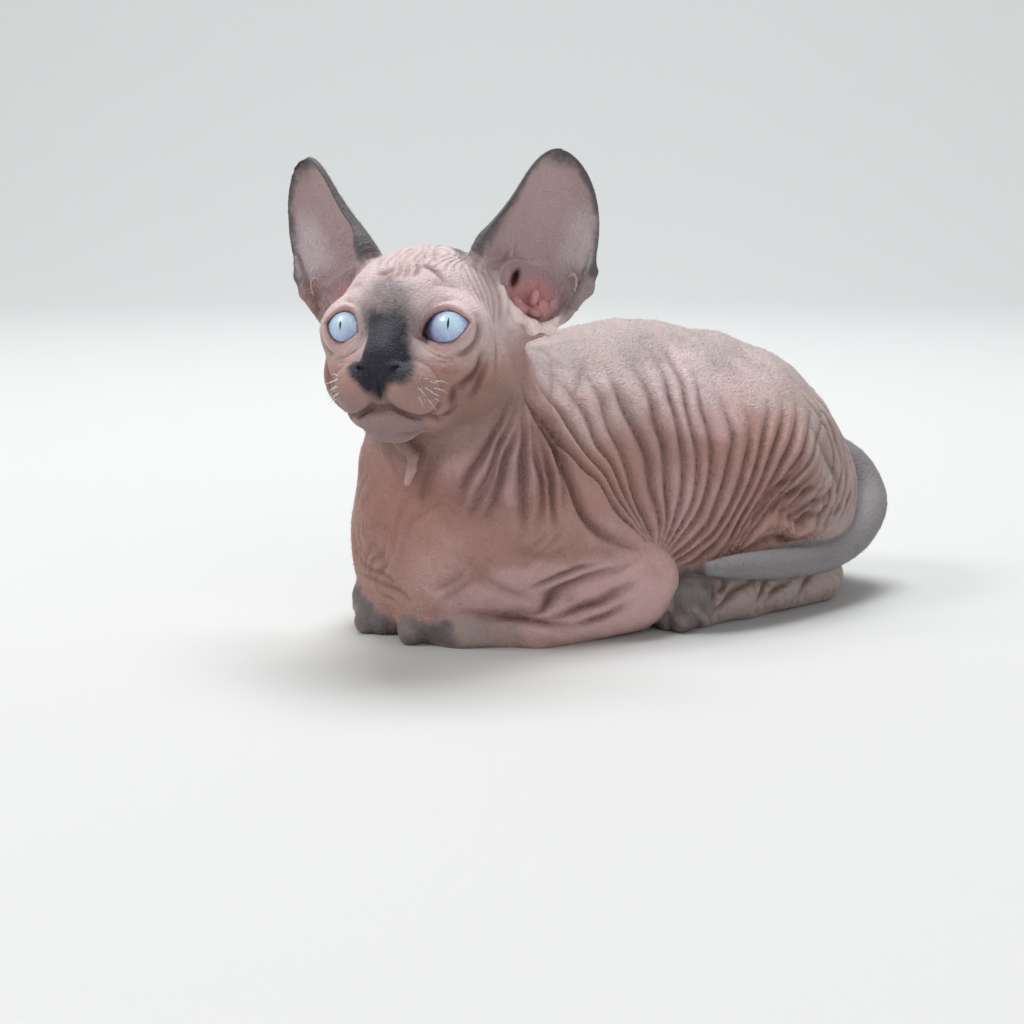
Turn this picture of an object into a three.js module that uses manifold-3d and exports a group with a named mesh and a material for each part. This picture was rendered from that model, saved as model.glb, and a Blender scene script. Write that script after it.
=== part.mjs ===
// A sphynx kitten at life size, lying with its paws tucked in and its head turned to its left.
// Millimetres, +Z up. The kitten looks along -Y with its left side on +X, and the origin is on the
// floor under the middle of the trunk. Each mass of the body is a smooth closed shape given by its
// distance function, and a sphere or capsule mesh is drawn in onto that shape.
import * as THREE from 'three';
import { mergeVertices } from 'three/addons/utils/BufferGeometryUtils.js';
import Module from 'manifold-3d';

const wasm = await Module();
wasm.setup();

// Driving dimensions
const GAP = 0.3; // left between neighbouring pieces
const BACK_HEIGHT = 94; // highest point of the back above the floor
const TRUNK_HALF_WIDTH = 40; // at the haunches
const HEAD_PLACE = [15.7, -83.4, 89.8]; // middle of the skull
const HEAD_YAW = 37; // degrees to the kitten's left
const HEAD_PITCH = 12.9; // degrees up
const HEAD_ROLL = -1.7; // degrees, top of the head towards its left
const EYE_RADIUS = 8.8;
const EYE_PLACE = [15.2, -17.0, 2.6]; // middle of the left eyeball in the head's own frame
const EAR_PLACE = [30, 4, 18]; // middle of the left ear's foot in the head's own frame
const EAR_HEIGHT = 41.2;
const EAR_HALF_WIDTH = 16.8;

const vector = ([x, y, z]) => new THREE.Vector3(x, y, z);
const clamp = THREE.MathUtils.clamp;

// Distance functions. Each takes a point and gives about how far outside the shape it lies.

// an ellipsoid about a middle point, with its half sizes
function ball(middle, size) {
  const m = vector(middle);
  const s = vector(size);
  return (p) => {
    const q = p.clone().sub(m).divide(s);
    const near = q.length();
    return (near * (near - 1)) / Math.max(q.divide(s).length(), 1e-6);
  };
}

// a cone with round ends, from one ball to another
function bone(from, to, r0, r1) {
  const a = vector(from);
  const axis = vector(to).sub(a);
  const long = axis.length();
  axis.divideScalar(long);
  const sine = (r0 - r1) / long;
  const cosine = Math.sqrt(1 - sine * sine);
  return (p) => {
    const q = p.clone().sub(a);
    const along = q.dot(axis);
    const out = Math.sqrt(Math.max(q.lengthSq() - along * along, 0));
    const side = cosine * along - sine * out;
    if (side < 0) return Math.hypot(out, along) - r0;
    if (side > cosine * long) return Math.hypot(out, along - long) - r1;
    return out * cosine + along * sine - r0;
  };
}

// two or more shapes joined with a smooth fillet of the given width
function join(width, ...shapes) {
  return (p) => shapes.map((shape) => shape(p)).reduce((a, b) => {
    const h = Math.max(width - Math.abs(a - b), 0) / width;
    return Math.min(a, b) - (h * h * h * width) / 6;
  });
}

// a limb: bones end to end through joints, with the radius at each joint
function limb(width, joints, radii) {
  const bones = joints.slice(1).map((to, i) => bone(joints[i], to, radii[i], radii[i + 1]));
  return bones.length > 1 ? join(width, ...bones) : bones[0];
}

// four toes side by side in front of the end of a paw that points from one place to another
function toes(from, to, radius) {
  const forward = vector(to).sub(vector(from)).setZ(0).normalize();
  const across = new THREE.Vector3(forward.y, -forward.x, 0);
  return [-1.5, -0.5, 0.5, 1.5].map((step) => {
    const ahead = radius * (Math.abs(step) > 1 ? 0.9 : 1.4);
    const at = vector(to).addScaledVector(forward, ahead).addScaledVector(across, step * radius * 1.15);
    return ball([at.x, at.y, radius * 0.95], [radius, radius, radius * 1.05]);
  });
}

const grown = (shape, by) => (p) => shape(p) - by;
const mirrored = ([x, y, z]) => [-x, y, z];
const bothSides = (make) => [make((v) => v), make(mirrored)];

// Frames

const radians = THREE.MathUtils.degToRad;
const yaw = radians(HEAD_YAW);
const pitch = radians(HEAD_PITCH);
const roll = radians(HEAD_ROLL);
const back = new THREE.Vector3(
  -Math.sin(yaw) * Math.cos(pitch),
  Math.cos(yaw) * Math.cos(pitch),
  -Math.sin(pitch),
);
const level = new THREE.Vector3(Math.cos(yaw), Math.sin(yaw), 0);
const upright = level.clone().cross(back);
const left = level.clone().multiplyScalar(Math.cos(roll)).addScaledVector(upright, -Math.sin(roll));
const up = upright.clone().multiplyScalar(Math.cos(roll)).addScaledVector(level, Math.sin(roll));
const headFrame = new THREE.Matrix4().makeBasis(left, back, up).setPosition(...HEAD_PLACE);

// a frame in the head's own frame from a direction and a rough side direction
function frameAlong(place, direction, side) {
  const z = vector(direction).normalize();
  const x = vector(side).addScaledVector(z, -vector(side).dot(z)).normalize();
  return new THREE.Matrix4().makeBasis(x, z.clone().cross(x), z).setPosition(...place);
}
const earFrame = frameAlong(EAR_PLACE, [11.4, -6.8, 35.9], [25.6, 14.5, 2.6]);
const eyeFrame = frameAlong(EYE_PLACE, [0.1, -0.985, -0.03], [0.93, 0.4, 0.3]);

// the same shape given in a frame of its own
function inFrame(frame, shape) {
  const inverse = frame.clone().invert();
  return (p) => shape(p.clone().applyMatrix4(inverse));
}

// Solids

// one shared corner where the faces of a mesh meet
function sewn(geometry) {
  const bare = geometry.clone();
  bare.deleteAttribute('normal');
  bare.deleteAttribute('uv');
  return mergeVertices(bare, 1e-4);
}

function solidOf(geometry) {
  const mesh = sewn(geometry);
  const corners = mesh.index.array;
  const faces = [];
  for (let i = 0; i < corners.length; i += 3) {
    const [a, b, c] = corners.slice(i, i + 3);
    if (a !== b && b !== c && c !== a) faces.push(a, b, c);
  }
  return new wasm.Manifold(new wasm.Mesh({
    numProp: 3,
    vertProperties: new Float32Array(mesh.attributes.position.array),
    triVerts: new Uint32Array(faces),
  }));
}

function geometryOf(solid) {
  const { numProp, vertProperties, triVerts } = solid.getMesh();
  const places = new Float32Array((vertProperties.length / numProp) * 3);
  for (let i = 0; i < places.length; i += 1) {
    places[i] = vertProperties[Math.floor(i / 3) * numProp + (i % 3)];
  }
  const geometry = new THREE.BufferGeometry();
  geometry.setAttribute('position', new THREE.BufferAttribute(places, 3));
  geometry.setIndex(new THREE.BufferAttribute(new Uint32Array(triVerts), 1));
  return geometry;
}

// how far from a start the shape's surface lies along a direction, found from outside inwards
function reach(shape, start, direction, far) {
  const at = (t) => shape(start.clone().addScaledVector(direction, t));
  let outer = far;
  while (outer > 0 && at(outer) > 0) outer -= 1;
  let inner = Math.max(outer, 0);
  outer = inner + 1;
  for (let i = 0; i < 14; i += 1) {
    const middle = (inner + outer) / 2;
    if (at(middle) > 0) outer = middle;
    else inner = middle;
  }
  return inner;
}

// a sphere mesh drawn in onto a shape round one inner point, with its faces gathered towards one side
function wrapRound(shape, middle, detail, far, gather = [0, 0, 0]) {
  const geometry = sewn(new THREE.IcosahedronGeometry(1, detail));
  const place = geometry.attributes.position;
  const start = vector(middle);
  for (let i = 0; i < place.count; i += 1) {
    const direction = new THREE.Vector3().fromBufferAttribute(place, i).add(vector(gather)).normalize();
    const at = start.clone().addScaledVector(direction, reach(shape, start, direction, far));
    place.setXYZ(i, at.x, at.y, at.z);
  }
  return solidOf(geometry);
}

// a capsule mesh drawn in onto a shape along an inner line
function wrapAlong(shape, line, around, along, far) {
  const curve = new THREE.CatmullRomCurve3(line.map(vector));
  const geometry = sewn(new THREE.CapsuleGeometry(1, 2, Math.ceil(around / 6), around, along));
  const place = geometry.attributes.position;
  for (let i = 0; i < place.count; i += 1) {
    const v = new THREE.Vector3().fromBufferAttribute(place, i);
    const step = clamp(v.y, -1, 1);
    const start = curve.getPointAt((step + 1) / 2);
    const tangent = curve.getTangentAt((step + 1) / 2);
    const side = tangent.clone().cross(new THREE.Vector3(0, 0, 1)).normalize();
    const direction = side.clone().multiplyScalar(v.x)
      .addScaledVector(tangent, v.y - step)
      .addScaledVector(side.clone().cross(tangent), v.z)
      .normalize();
    const at = start.clone().addScaledVector(direction, reach(shape, start, direction, far));
    place.setXYZ(i, at.x, at.y, at.z);
  }
  return solidOf(geometry);
}

// The trunk: half width and height change smoothly from the breast to the tail, and the cross
// section is a rounded square that narrows a little towards the spine.
const STATIONS = [-80, -66, -50, -32, -12, 10, 32, 50, 64, 74, 84, 94];
const WIDTHS = [0.6, 0.775, 0.85, 0.875, 0.9, 0.95, 0.9875, 1, 0.9, 0.775, 0.6, 0.38];
const HEIGHTS = [0.479, 0.638, 0.809, 0.941, 1, 1, 0.963, 0.915, 0.851, 0.777, 0.66, 0.51];
const LOWEST = [6, 2, -2, -4, -4, -4, -4, -4, -4, -3, 2, 11];
const SQUARENESS = 2.3;

// a smooth line through the station values
function alongTrunk(values, scale) {
  const spots = STATIONS.map((y, i) => new THREE.Vector3(y, values[i] * scale, 0));
  const curve = new THREE.CatmullRomCurve3(spots);
  const points = curve.getPoints(200);
  return (y) => {
    const next = points.findIndex((p) => p.x > y);
    const i = next < 0 ? points.length - 1 : Math.max(next, 1);
    const t = clamp((y - points[i - 1].x) / (points[i].x - points[i - 1].x), 0, 1);
    return THREE.MathUtils.lerp(points[i - 1].y, points[i].y, t);
  };
}
const halfWidthAt = alongTrunk(WIDTHS, TRUNK_HALF_WIDTH);
const topAt = alongTrunk(HEIGHTS, BACK_HEIGHT);
const lowestAt = alongTrunk(LOWEST, 1);

function barrel(p) {
  const y = clamp(p.y, STATIONS[0], STATIONS.at(-1));
  const halfHeight = (topAt(y) - lowestAt(y)) / 2;
  const rise = (p.z - (topAt(y) + lowestAt(y)) / 2) / halfHeight;
  const narrowing = 1 - 0.2 * clamp(rise, 0, 1) ** 2;
  const width = halfWidthAt(y) * narrowing * (1.04 - 0.04 * Math.min(rise * rise, 1));
  const past = (p.y - y) / 7.5;
  const sum = Math.abs(p.x / width) ** SQUARENESS + Math.abs(rise) ** SQUARENESS
    + Math.abs(past) ** SQUARENESS;
  return (sum ** (1 / SQUARENESS) - 1) * Math.min(halfWidthAt(y), halfHeight) * 0.8;
}

const breast = ball([-4, -58, 40], [36, 28, 35]);
const thighs = bothSides((at) => join(
  12,
  ball(at([20, 44, 31]), [21, 34, 32]),
  bone(at([26, 10, 25]), at([25, 58, 19]), 13, 12),
));
const upperArms = [bone([19, -52, 40], [31, -21, 17], 24, 11.5), bone([-20, -52, 38], [-31, -24, 17], 22, 12)];
const elbows = [
  bone([24, -42, 27], [33.5, -16.5, 16.8], 16, 11.6),
  bone([-25, -42, 26], [-34, -18, 16.8], 15, 11),
];
const rump = join(16, join(24, barrel, breast), ...thighs);
const bodyShape = join(2.2, join(9, rump, ...upperArms), ...elbows);
const bodyLine = [[0, 86, 34], [0, 60, 38], [0, 20, 42], [0, -20, 44], [-2, -60, 42]];
const neckShape = bone([-3, -50, 46], [9, -73, 78], 33, 25);

const forearmLeft = limb(6, [[33, -18, 11.5], [29, -52, 7]], [11, 9]);
const forearmRight = limb(6, [[-33, -22, 11.5], [-29, -63, 8]], [11, 9.5]);
const pawLeftLine = [[26, -54, 6], [15, -71, 5.5], [5, -78, 5.5]];
const pawRightLine = [[-29, -65, 8], [-22, -76, 7], [-12, -80.5, 5.5]];
const TOE_RADIUS = 3.8;
const paw = (line, radii) => join(3, limb(4, line, radii), ...toes(line[1], line[2], TOE_RADIUS));
const pawLeft = paw(pawLeftLine, [8.5, 8.5, 7]);
const pawRight = paw(pawRightLine, [9.5, 9, 7]);
const footLine = [[31, 62, 8], [36, 24, 7.6], [36.5, 3, 8.6], [35.5, -4, 7.5]];
const footRadii = [8.5, 7.8, 9, 7.4];
const footShape = join(3, limb(5, footLine, footRadii), ...toes(footLine[2], footLine[3], TOE_RADIUS));

const TAIL_LINE = [
  [0, 88, 46], [8.5, 99.5, 40], [17, 100.5, 31.5], [26, 91, 25.6], [35, 73, 19.6],
  [41.5, 51, 17.2], [46, 28.4, 18.4], [47, 10.6, 19.6], [46, 1, 19.8],
];
const TAIL_RADII = [8, 6.6, 6, 5.8, 5.5, 5.2, 4.7, 3.7, 2.2];
const tailShape = limb(2, TAIL_LINE, TAIL_RADII);

// The head, in its own frame: x to its left, y back, z up.
const skull = ball([0, 7, 7], [26, 30, 24.3]);
const forehead = ball([0, -11, 8.9], [18.5, 18, 16]);
const cheekbones = bothSides((at) => ball(at([15, -6, -8]), [12.5, 17, 13]));
const cheeks = bothSides((at) => ball(at([11, -19, -9]), [9, 9.5, 8.5]));
const jaw = bothSides((at) => ball(at([8, -17.5, -18.5]), [8.5, 12, 7.5]));
const muzzle = ball([0, -23, -13], [11, 13.5, 10.5]);
const noseRidge = bone([0, -21, 5], [0, -34.6, -7], 7.2, 4.9);
const whiskerPads = bothSides((at) => join(
  4,
  ball(at([6.8, -30, -14.4]), [8, 8.6, 6.8]),
  ball(at([9, -27.8, -17.2]), [5.8, 6.4, 5.6]),
));
const chin = ball([0, -24.3, -24.6], [8.4, 7.9, 5.5]);
const LID_RADIUS = EYE_RADIUS + 1.6;
const lids = bothSides((at) => ball(at(EYE_PLACE), [LID_RADIUS, LID_RADIUS, LID_RADIUS]));
const cranium = join(10, join(14, skull, forehead), ...cheekbones);
const face = join(3, join(7, cranium, ...cheeks, ...jaw, muzzle, noseRidge), chin, ...whiskerPads);
const headShape = join(7, face, ...lids);

// The ear: a tall cupped leaf. Its rims follow two smooth curves of the height, and its middle lies
// behind the rims, most near the foot.
function earRims(h) {
  const rise = clamp((h - 8) / (EAR_HEIGHT - 8), 0, 1);
  const fall = clamp((8 - h) / 22, 0, 1);
  const outer = EAR_HALF_WIDTH * (h > 8 ? (1 - rise ** 2.4) ** 0.58 : (1 - fall ** 2) ** 0.5);
  const low = Math.exp(-((Math.max(h, 0) / 19) ** 3));
  const inner = 12.5 * (1 - clamp(h / EAR_HEIGHT, 0, 1) ** 3) ** 0.5 + 7 * low;
  const lean = 1.6 * rise * rise;
  return [-Math.max(inner, 0.8) - lean, Math.max(outer, 0.8) - lean];
}

function earGeometry(across, rows) {
  const foot = -4;
  const geometry = sewn(new THREE.BoxGeometry(1, 1, 1, across, 1, rows));
  const place = geometry.attributes.position;
  for (let i = 0; i < place.count; i += 1) {
    const h = foot + (EAR_HEIGHT - 0.2 - foot) * Math.sin((place.getZ(i) + 0.5) * (Math.PI / 2));
    const x = place.getX(i) * 2;
    const [inner, outer] = earRims(h);
    const depth = 11.5 * clamp(1 - h / 44, 0, 1) ** 0.9 + 1.2;
    const thick = (0.95 + 0.9 * clamp(1 - h / 30, 0, 1)) * (1 - 0.35 * Math.abs(x) ** 4);
    const middle = 1 + depth * (1 - Math.abs(x) ** 2.2);
    place.setXYZ(i, inner + ((x + 1) / 2) * (outer - inner), middle + place.getY(i) * 2 * thick, h);
  }
  return geometry;
}

function turnedHead(solid) {
  return solid.transform(headFrame.elements);
}
const earBlade = solidOf(earGeometry(7, 8).applyMatrix4(earFrame));
const mirror = (solid) => solid.mirror([1, 0, 0]);

// the ear's rounded foot, and the hollow of the canal in it
const footBall = new THREE.SphereGeometry(1, 10, 7).scale(14, 11.5, 12).translate(-0.5, 4, -4);
const earFoot = solidOf(footBall.applyMatrix4(earFrame));
const hollowBall = new THREE.SphereGeometry(1, 10, 7).scale(11.6, 11.2, 11.2).translate(0.2, 0, 3.2);
const earHollow = solidOf(hollowBall.applyMatrix4(earFrame));

// the eyeball with its clear front bulge, and the slit between the lids as a long almond bar
const eyeShape = inFrame(eyeFrame, join(2, ball([0, 0, 0], [EYE_RADIUS, EYE_RADIUS, EYE_RADIUS]),
  ball([0, 0, 3.2], [6.6, 6.6, 6.6])));
const eyeBall = (by) => wrapRound(grown(eyeShape, by), EYE_PLACE, 2, 12);
const slit = new THREE.Shape();
slit.moveTo(-7.2, -1.2);
slit.quadraticCurveTo(-4.5, 4.4, 0.5, 4.9);
slit.quadraticCurveTo(5.5, 4.4, 7.2, 0.4);
slit.quadraticCurveTo(5.5, -4.3, 0.2, -4.4);
slit.quadraticCurveTo(-4.5, -4.3, -7.2, -1.2);
const slitBar = new THREE.ExtrudeGeometry(slit, { depth: 20, bevelEnabled: false, curveSegments: 4 });
const lidSlit = solidOf(slitBar.applyMatrix4(eyeFrame));

// Cutting the whole into named pieces

const floor = solidOf(new THREE.BoxGeometry(600, 600, 100).translate(0, 0, -50));
const onFloor = (solid) => solid.subtract(floor);
function largest(solid) {
  const bodies = solid.decompose();
  return bodies.reduce((a, b) => (a.volume() > b.volume() ? a : b));
}

const eyes = { left: eyeBall(0) };
eyes.right = mirror(eyes.left);
const eyeRoom = { left: eyeBall(GAP) };
eyeRoom.right = mirror(eyeRoom.left);

const HEAD_MIDDLE = [0, -6, 0];
const headRound = (by, detail) => wrapRound(grown(headShape, by), HEAD_MIDDLE, detail, 60, [0, -0.45, -0.15]);
const headWhole = turnedHead(largest(headRound(0, 7)));
const headOpenings = turnedHead(eyeRoom.left.add(eyeRoom.right).add(lidSlit).add(mirror(lidSlit)));
const headRoom = turnedHead(headRound(GAP, 7));
const ear = earFoot.subtract(earHollow).add(earBlade);
const earSolid = (whole) => largest(turnedHead(whole).subtract(headRoom));

// upright oval drums that part the haunches and the upper arms from the trunk
function drum(middle, size, inner, by) {
  const geometry = new THREE.CylinderGeometry(1, 1, 1, 20).rotateZ(Math.PI / 2);
  geometry.scale(60 + by, size[0] + by, size[1] + by);
  geometry.translate(middle[0] > 0 ? inner + 30 : -inner - 30, middle[1], middle[2]);
  return solidOf(geometry);
}
const haunchCut = (side, by) => drum([side, 47, 30], [36, 37], 15, by);
const armCut = (side, by) => drum([side, -35, 24], [33, 30], 13, by);

const limbSolid = (shape, line, by, around = 9, along = 3) => (
  wrapAlong(grown(shape, by), line, around, along, 40));

function makePaw(side, by) {
  const [shape, line] = side > 0 ? [pawLeft, pawLeftLine] : [pawRight, pawRightLine];
  return limbSolid(shape, line, by, 12, 5);
}
function makeForearm(side, by) {
  return side > 0
    ? limbSolid(forearmLeft, [[33, -18, 11.5], [31, -35, 9.3], [29, -52, 7]], by)
    : limbSolid(forearmRight, [[-33, -22, 11.5], [-31, -42.5, 9.8], [-29, -63, 8]], by);
}
function makeFoot(side, by) {
  const foot = limbSolid(footShape, footLine, by, 10, 7);
  return side > 0 ? foot : mirror(foot);
}

const bodyWhole = wrapAlong(bodyShape, bodyLine, 20, 12, 80);
const neckLine = [[-3, -50, 46], [3, -61.5, 62], [9, -73, 78]];
const neckWhole = wrapAlong(neckShape, neckLine, 16, 2, 60);
const flesh = bodyWhole.add(neckWhole).add(headWhole).subtract(headOpenings);

// the neck is a short length of the whole inside an oval sleeve, and the head is all beyond its end
const NECK_END = [6.5, -68, 71];
const NECK_LENGTH = 17;
function neckSleeve(by, length, radius) {
  const axis = vector(neckLine.at(-1)).sub(vector(neckLine[0])).normalize();
  const geometry = new THREE.CylinderGeometry(radius + by, radius + by, length + by, 20);
  geometry.rotateX(Math.PI / 2).translate(0, 0, -length / 2 + by / 2);
  geometry.lookAt(axis);
  return solidOf(geometry.translate(...NECK_END));
}
const beyondNeck = (by) => {
  const axis = vector(neckLine.at(-1)).sub(vector(neckLine[0])).normalize();
  const geometry = new THREE.BoxGeometry(200, 200, 100).translate(0, 0, 50 + by);
  geometry.lookAt(axis);
  return solidOf(geometry.translate(...NECK_END));
};
const headSolid = largest(flesh.intersect(beyondNeck(GAP)));
const neckSolid = largest(flesh.intersect(neckSleeve(0, NECK_LENGTH, 42)).subtract(beyondNeck(0)));
const torso = flesh.subtract(beyondNeck(0)).subtract(neckSleeve(GAP, NECK_LENGTH, 42));

// the tail is parted across its length into three
function tailLength(from, to, along, by = 0) {
  const curve = new THREE.CatmullRomCurve3(TAIL_LINE.map(vector));
  const ends = [from, to].map((t) => [curve.getPointAt(t), curve.getTangentAt(t)]);
  const shape = (p) => Math.max(
    tailShape(p) - by,
    from > 0 ? GAP / 2 - by - p.clone().sub(ends[0][0]).dot(ends[0][1]) : -1,
    to < 1 ? GAP / 2 - by + p.clone().sub(ends[1][0]).dot(ends[1][1]) : -1,
  );
  const inset = 0.01;
  const first = from > 0 ? from + inset : 0;
  const last = to < 1 ? to - inset : 1;
  const line = Array.from({ length: along + 1 }, (_, i) => (
    curve.getPointAt(THREE.MathUtils.lerp(first, last, i / along)).toArray()
  ));
  return wrapAlong(shape, line, 8, along, 14);
}

const tailLengths = (by) => [
  tailLength(0, 0.36, 7, by), tailLength(0.36, 0.68, 6, by), tailLength(0.68, 1, 6, by),
];
const tailPieces = tailLengths(0);
const tailRoom = tailLengths(GAP).reduce((a, b) => a.add(b));
const pawRoom = { 1: makePaw(1, GAP), '-1': makePaw(-1, GAP) };
const footRoom = { 1: makeFoot(1, GAP), '-1': makeFoot(-1, GAP) };
const forearmRoom = { 1: makeForearm(1, GAP), '-1': makeForearm(-1, GAP) };

function makePawPiece(side) {
  const other = side > 0 ? makePaw(1, 0) : makePaw(-1, 0).subtract(pawRoom[1]);
  return largest(onFloor(other));
}
function makeFootPiece(side) {
  return largest(onFloor(makeFoot(side, 0).subtract(tailRoom)));
}
function makeForeleg(side) {
  const arm = torso.intersect(armCut(side, 0));
  const whole = arm.add(makeForearm(side, 0));
  return largest(onFloor(whole.subtract(pawRoom[side]).subtract(footRoom[side]).subtract(tailRoom)
    .subtract(haunchCut(side, GAP))));
}
function makeHaunch(side) {
  return largest(onFloor(torso.intersect(haunchCut(side, 0)).subtract(footRoom[side])
    .subtract(tailRoom)));
}
function makeTrunk() {
  let trunk = torso.subtract(tailRoom);
  for (const side of [1, -1]) {
    trunk = trunk.subtract(armCut(side, GAP)).subtract(haunchCut(side, GAP))
      .subtract(forearmRoom[side]).subtract(footRoom[side]).subtract(pawRoom[side]);
  }
  return largest(onFloor(trunk));
}

// Materials

function skin(colour) {
  return new THREE.MeshStandardMaterial({ color: colour, roughness: 0.62, metalness: 0 });
}
const eyeBlue = () => new THREE.MeshStandardMaterial({ color: 0x9fc3dc, roughness: 0.08, metalness: 0 });
const PINK = 0xc09a90;
const MAUVE = 0xa08a8c;
const SLATE = 0x8a8288;

const kitten = new THREE.Group();
function add(name, solid, material) {
  const mesh = new THREE.Mesh(geometryOf(solid), material);
  mesh.name = name;
  kitten.add(mesh);
}

add('head', headSolid, skin(PINK));
add('ear_left', earSolid(ear), skin(MAUVE));
add('ear_right', earSolid(mirror(ear)), skin(MAUVE));
add('eye_left', turnedHead(eyes.left), eyeBlue());
add('eye_right', turnedHead(eyes.right), eyeBlue());
add('neck', neckSolid, skin(PINK));
add('trunk', makeTrunk(), skin(MAUVE));
add('foreleg_left', makeForeleg(1), skin(PINK));
add('foreleg_right', makeForeleg(-1), skin(PINK));
add('forepaw_left', makePawPiece(1), skin(SLATE));
add('forepaw_right', makePawPiece(-1), skin(SLATE));
add('haunch_left', makeHaunch(1), skin(PINK));
add('haunch_right', makeHaunch(-1), skin(PINK));
add('hindfoot_left', makeFootPiece(1), skin(SLATE));
add('hindfoot_right', makeFootPiece(-1), skin(SLATE));
['tail_base', 'tail_middle', 'tail_tip'].forEach((name, i) => add(name, tailPieces[i], skin(SLATE)));

export default kitten;
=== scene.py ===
import math

import bpy
import numpy as np
from mathutils import Matrix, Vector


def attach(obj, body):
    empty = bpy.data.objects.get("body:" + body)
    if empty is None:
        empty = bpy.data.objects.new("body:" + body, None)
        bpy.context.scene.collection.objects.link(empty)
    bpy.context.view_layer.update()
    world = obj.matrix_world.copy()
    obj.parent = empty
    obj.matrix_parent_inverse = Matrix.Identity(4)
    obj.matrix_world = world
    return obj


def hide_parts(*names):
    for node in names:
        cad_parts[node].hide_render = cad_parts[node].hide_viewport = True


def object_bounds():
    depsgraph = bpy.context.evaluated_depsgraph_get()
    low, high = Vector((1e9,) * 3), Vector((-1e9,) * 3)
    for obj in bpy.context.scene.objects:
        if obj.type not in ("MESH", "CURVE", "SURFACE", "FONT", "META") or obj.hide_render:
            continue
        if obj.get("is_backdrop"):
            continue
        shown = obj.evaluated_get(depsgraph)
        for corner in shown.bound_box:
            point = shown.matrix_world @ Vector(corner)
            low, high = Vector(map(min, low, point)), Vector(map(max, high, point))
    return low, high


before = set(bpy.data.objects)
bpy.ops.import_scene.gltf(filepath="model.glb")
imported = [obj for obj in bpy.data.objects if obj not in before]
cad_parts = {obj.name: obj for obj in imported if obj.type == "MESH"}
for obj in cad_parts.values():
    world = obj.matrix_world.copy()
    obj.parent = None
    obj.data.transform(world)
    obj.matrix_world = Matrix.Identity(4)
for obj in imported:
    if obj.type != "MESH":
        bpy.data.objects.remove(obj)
cad_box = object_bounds()
MM = 0.001


# The skin. One wrinkled hide covers the whole kitten, so it is made as one surface: each mass of the
# body is a smooth closed shape known by its distance, the masses run into each other with fillets,
# and the hide is the surface where the joined distance is zero. Millimetres in this section.
HEAD_PLACE = (15.7, -83.4, 89.8)
HEAD_YAW, HEAD_PITCH, HEAD_ROLL = 37.0, 12.9, -1.7
EYE_RADIUS = 8.8
EYE_PLACE = (15.2, -17.0, 2.6)
EAR_PLACE = (30.0, 4.0, 18.0)
EAR_HEIGHT = 41.2
LEFT, RIGHT = 1, -1


def unit(v):
    """The vector scaled to length one."""
    v = np.asarray(v, float)
    return v / np.linalg.norm(v)


def lengths(rows):
    """Each row's length."""
    return np.sqrt((rows * rows).sum(1))


def away(p, place):
    """Each point's distance from a place."""
    return lengths(p - np.float32(place))


def frame_along(direction, side):
    """Three columns at right angles: z along the direction, x towards the side, and y = z cross x."""
    z = unit(direction)
    x = unit(np.asarray(side, float) - z * np.dot(side, z))
    return np.float32(np.stack([x, np.cross(z, x), z], 1))


def ball(p, middle, size):
    """Distance to an ellipsoid: k (k - 1) / m, with k the offset's length in half sizes and m the
    length of that offset over the half sizes once more."""
    q = (p - np.float32(middle)) / np.float32(size)
    k = lengths(q)
    return k * (k - 1) / np.maximum(lengths(q / np.float32(size)), 1e-6)


def bone(p, start, end, first, last):
    """Distance to a cone with round ends: the slanted side's plane distance between the two balls,
    and each ball's own distance beyond its end."""
    axis = np.float32(end) - np.float32(start)
    length = float(np.linalg.norm(axis))
    q = p - np.float32(start)
    along = q @ (axis / np.float32(length))
    out = np.sqrt(np.maximum((q * q).sum(1) - along * along, 0))
    sine = (first - last) / length
    cosine = math.sqrt(1 - sine * sine)
    side = cosine * along - sine * out
    beyond = np.where(side > cosine * length, np.hypot(out, along - length) - last,
                      out * cosine + along * sine - first)
    return np.where(side < 0, np.hypot(out, along) - first, beyond)


def join(width, *shapes):
    """Union with a fillet: the lesser distance less width h cubed / 6, where h is how nearly equal
    the two distances are, from 0 to 1 over the width."""
    whole = shapes[0]
    for shape in shapes[1:]:
        h = np.maximum(width - np.abs(whole - shape), 0) / width
        whole = np.minimum(whole, shape) - h * h * h * (width / 6)
    return whole


def carve(width, whole, tool):
    """The whole less the tool, with a rounded lip."""
    return -join(width, -whole, tool)


def limb(p, width, joints, radii):
    """Bones end to end, joined with fillets."""
    bones = [bone(p, *pair) for pair in zip(joints, joints[1:], radii, radii[1:])]
    return join(width, *bones)


def smooth_table(stations, values, spread):
    """A smooth curve through values at stations: straight runs, extended past both ends, and
    averaged with a bell weight of the given spread."""
    fine = np.arange(stations[0] - 40, stations[-1] + 40, 0.5)
    line = np.interp(fine, stations, values)
    first = (values[1] - values[0]) / (stations[1] - stations[0])
    last = (values[-1] - values[-2]) / (stations[-1] - stations[-2])
    line = np.where(fine < stations[0], values[0] + (fine - stations[0]) * first, line)
    line = np.where(fine > stations[-1], values[-1] + (fine - stations[-1]) * last, line)
    weight = np.exp(-0.5 * (np.arange(-60, 61) * 0.5 / spread) ** 2)
    return np.float32(fine[60:-60]), np.float32(np.convolve(line, weight / weight.sum(), 'valid'))


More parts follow.
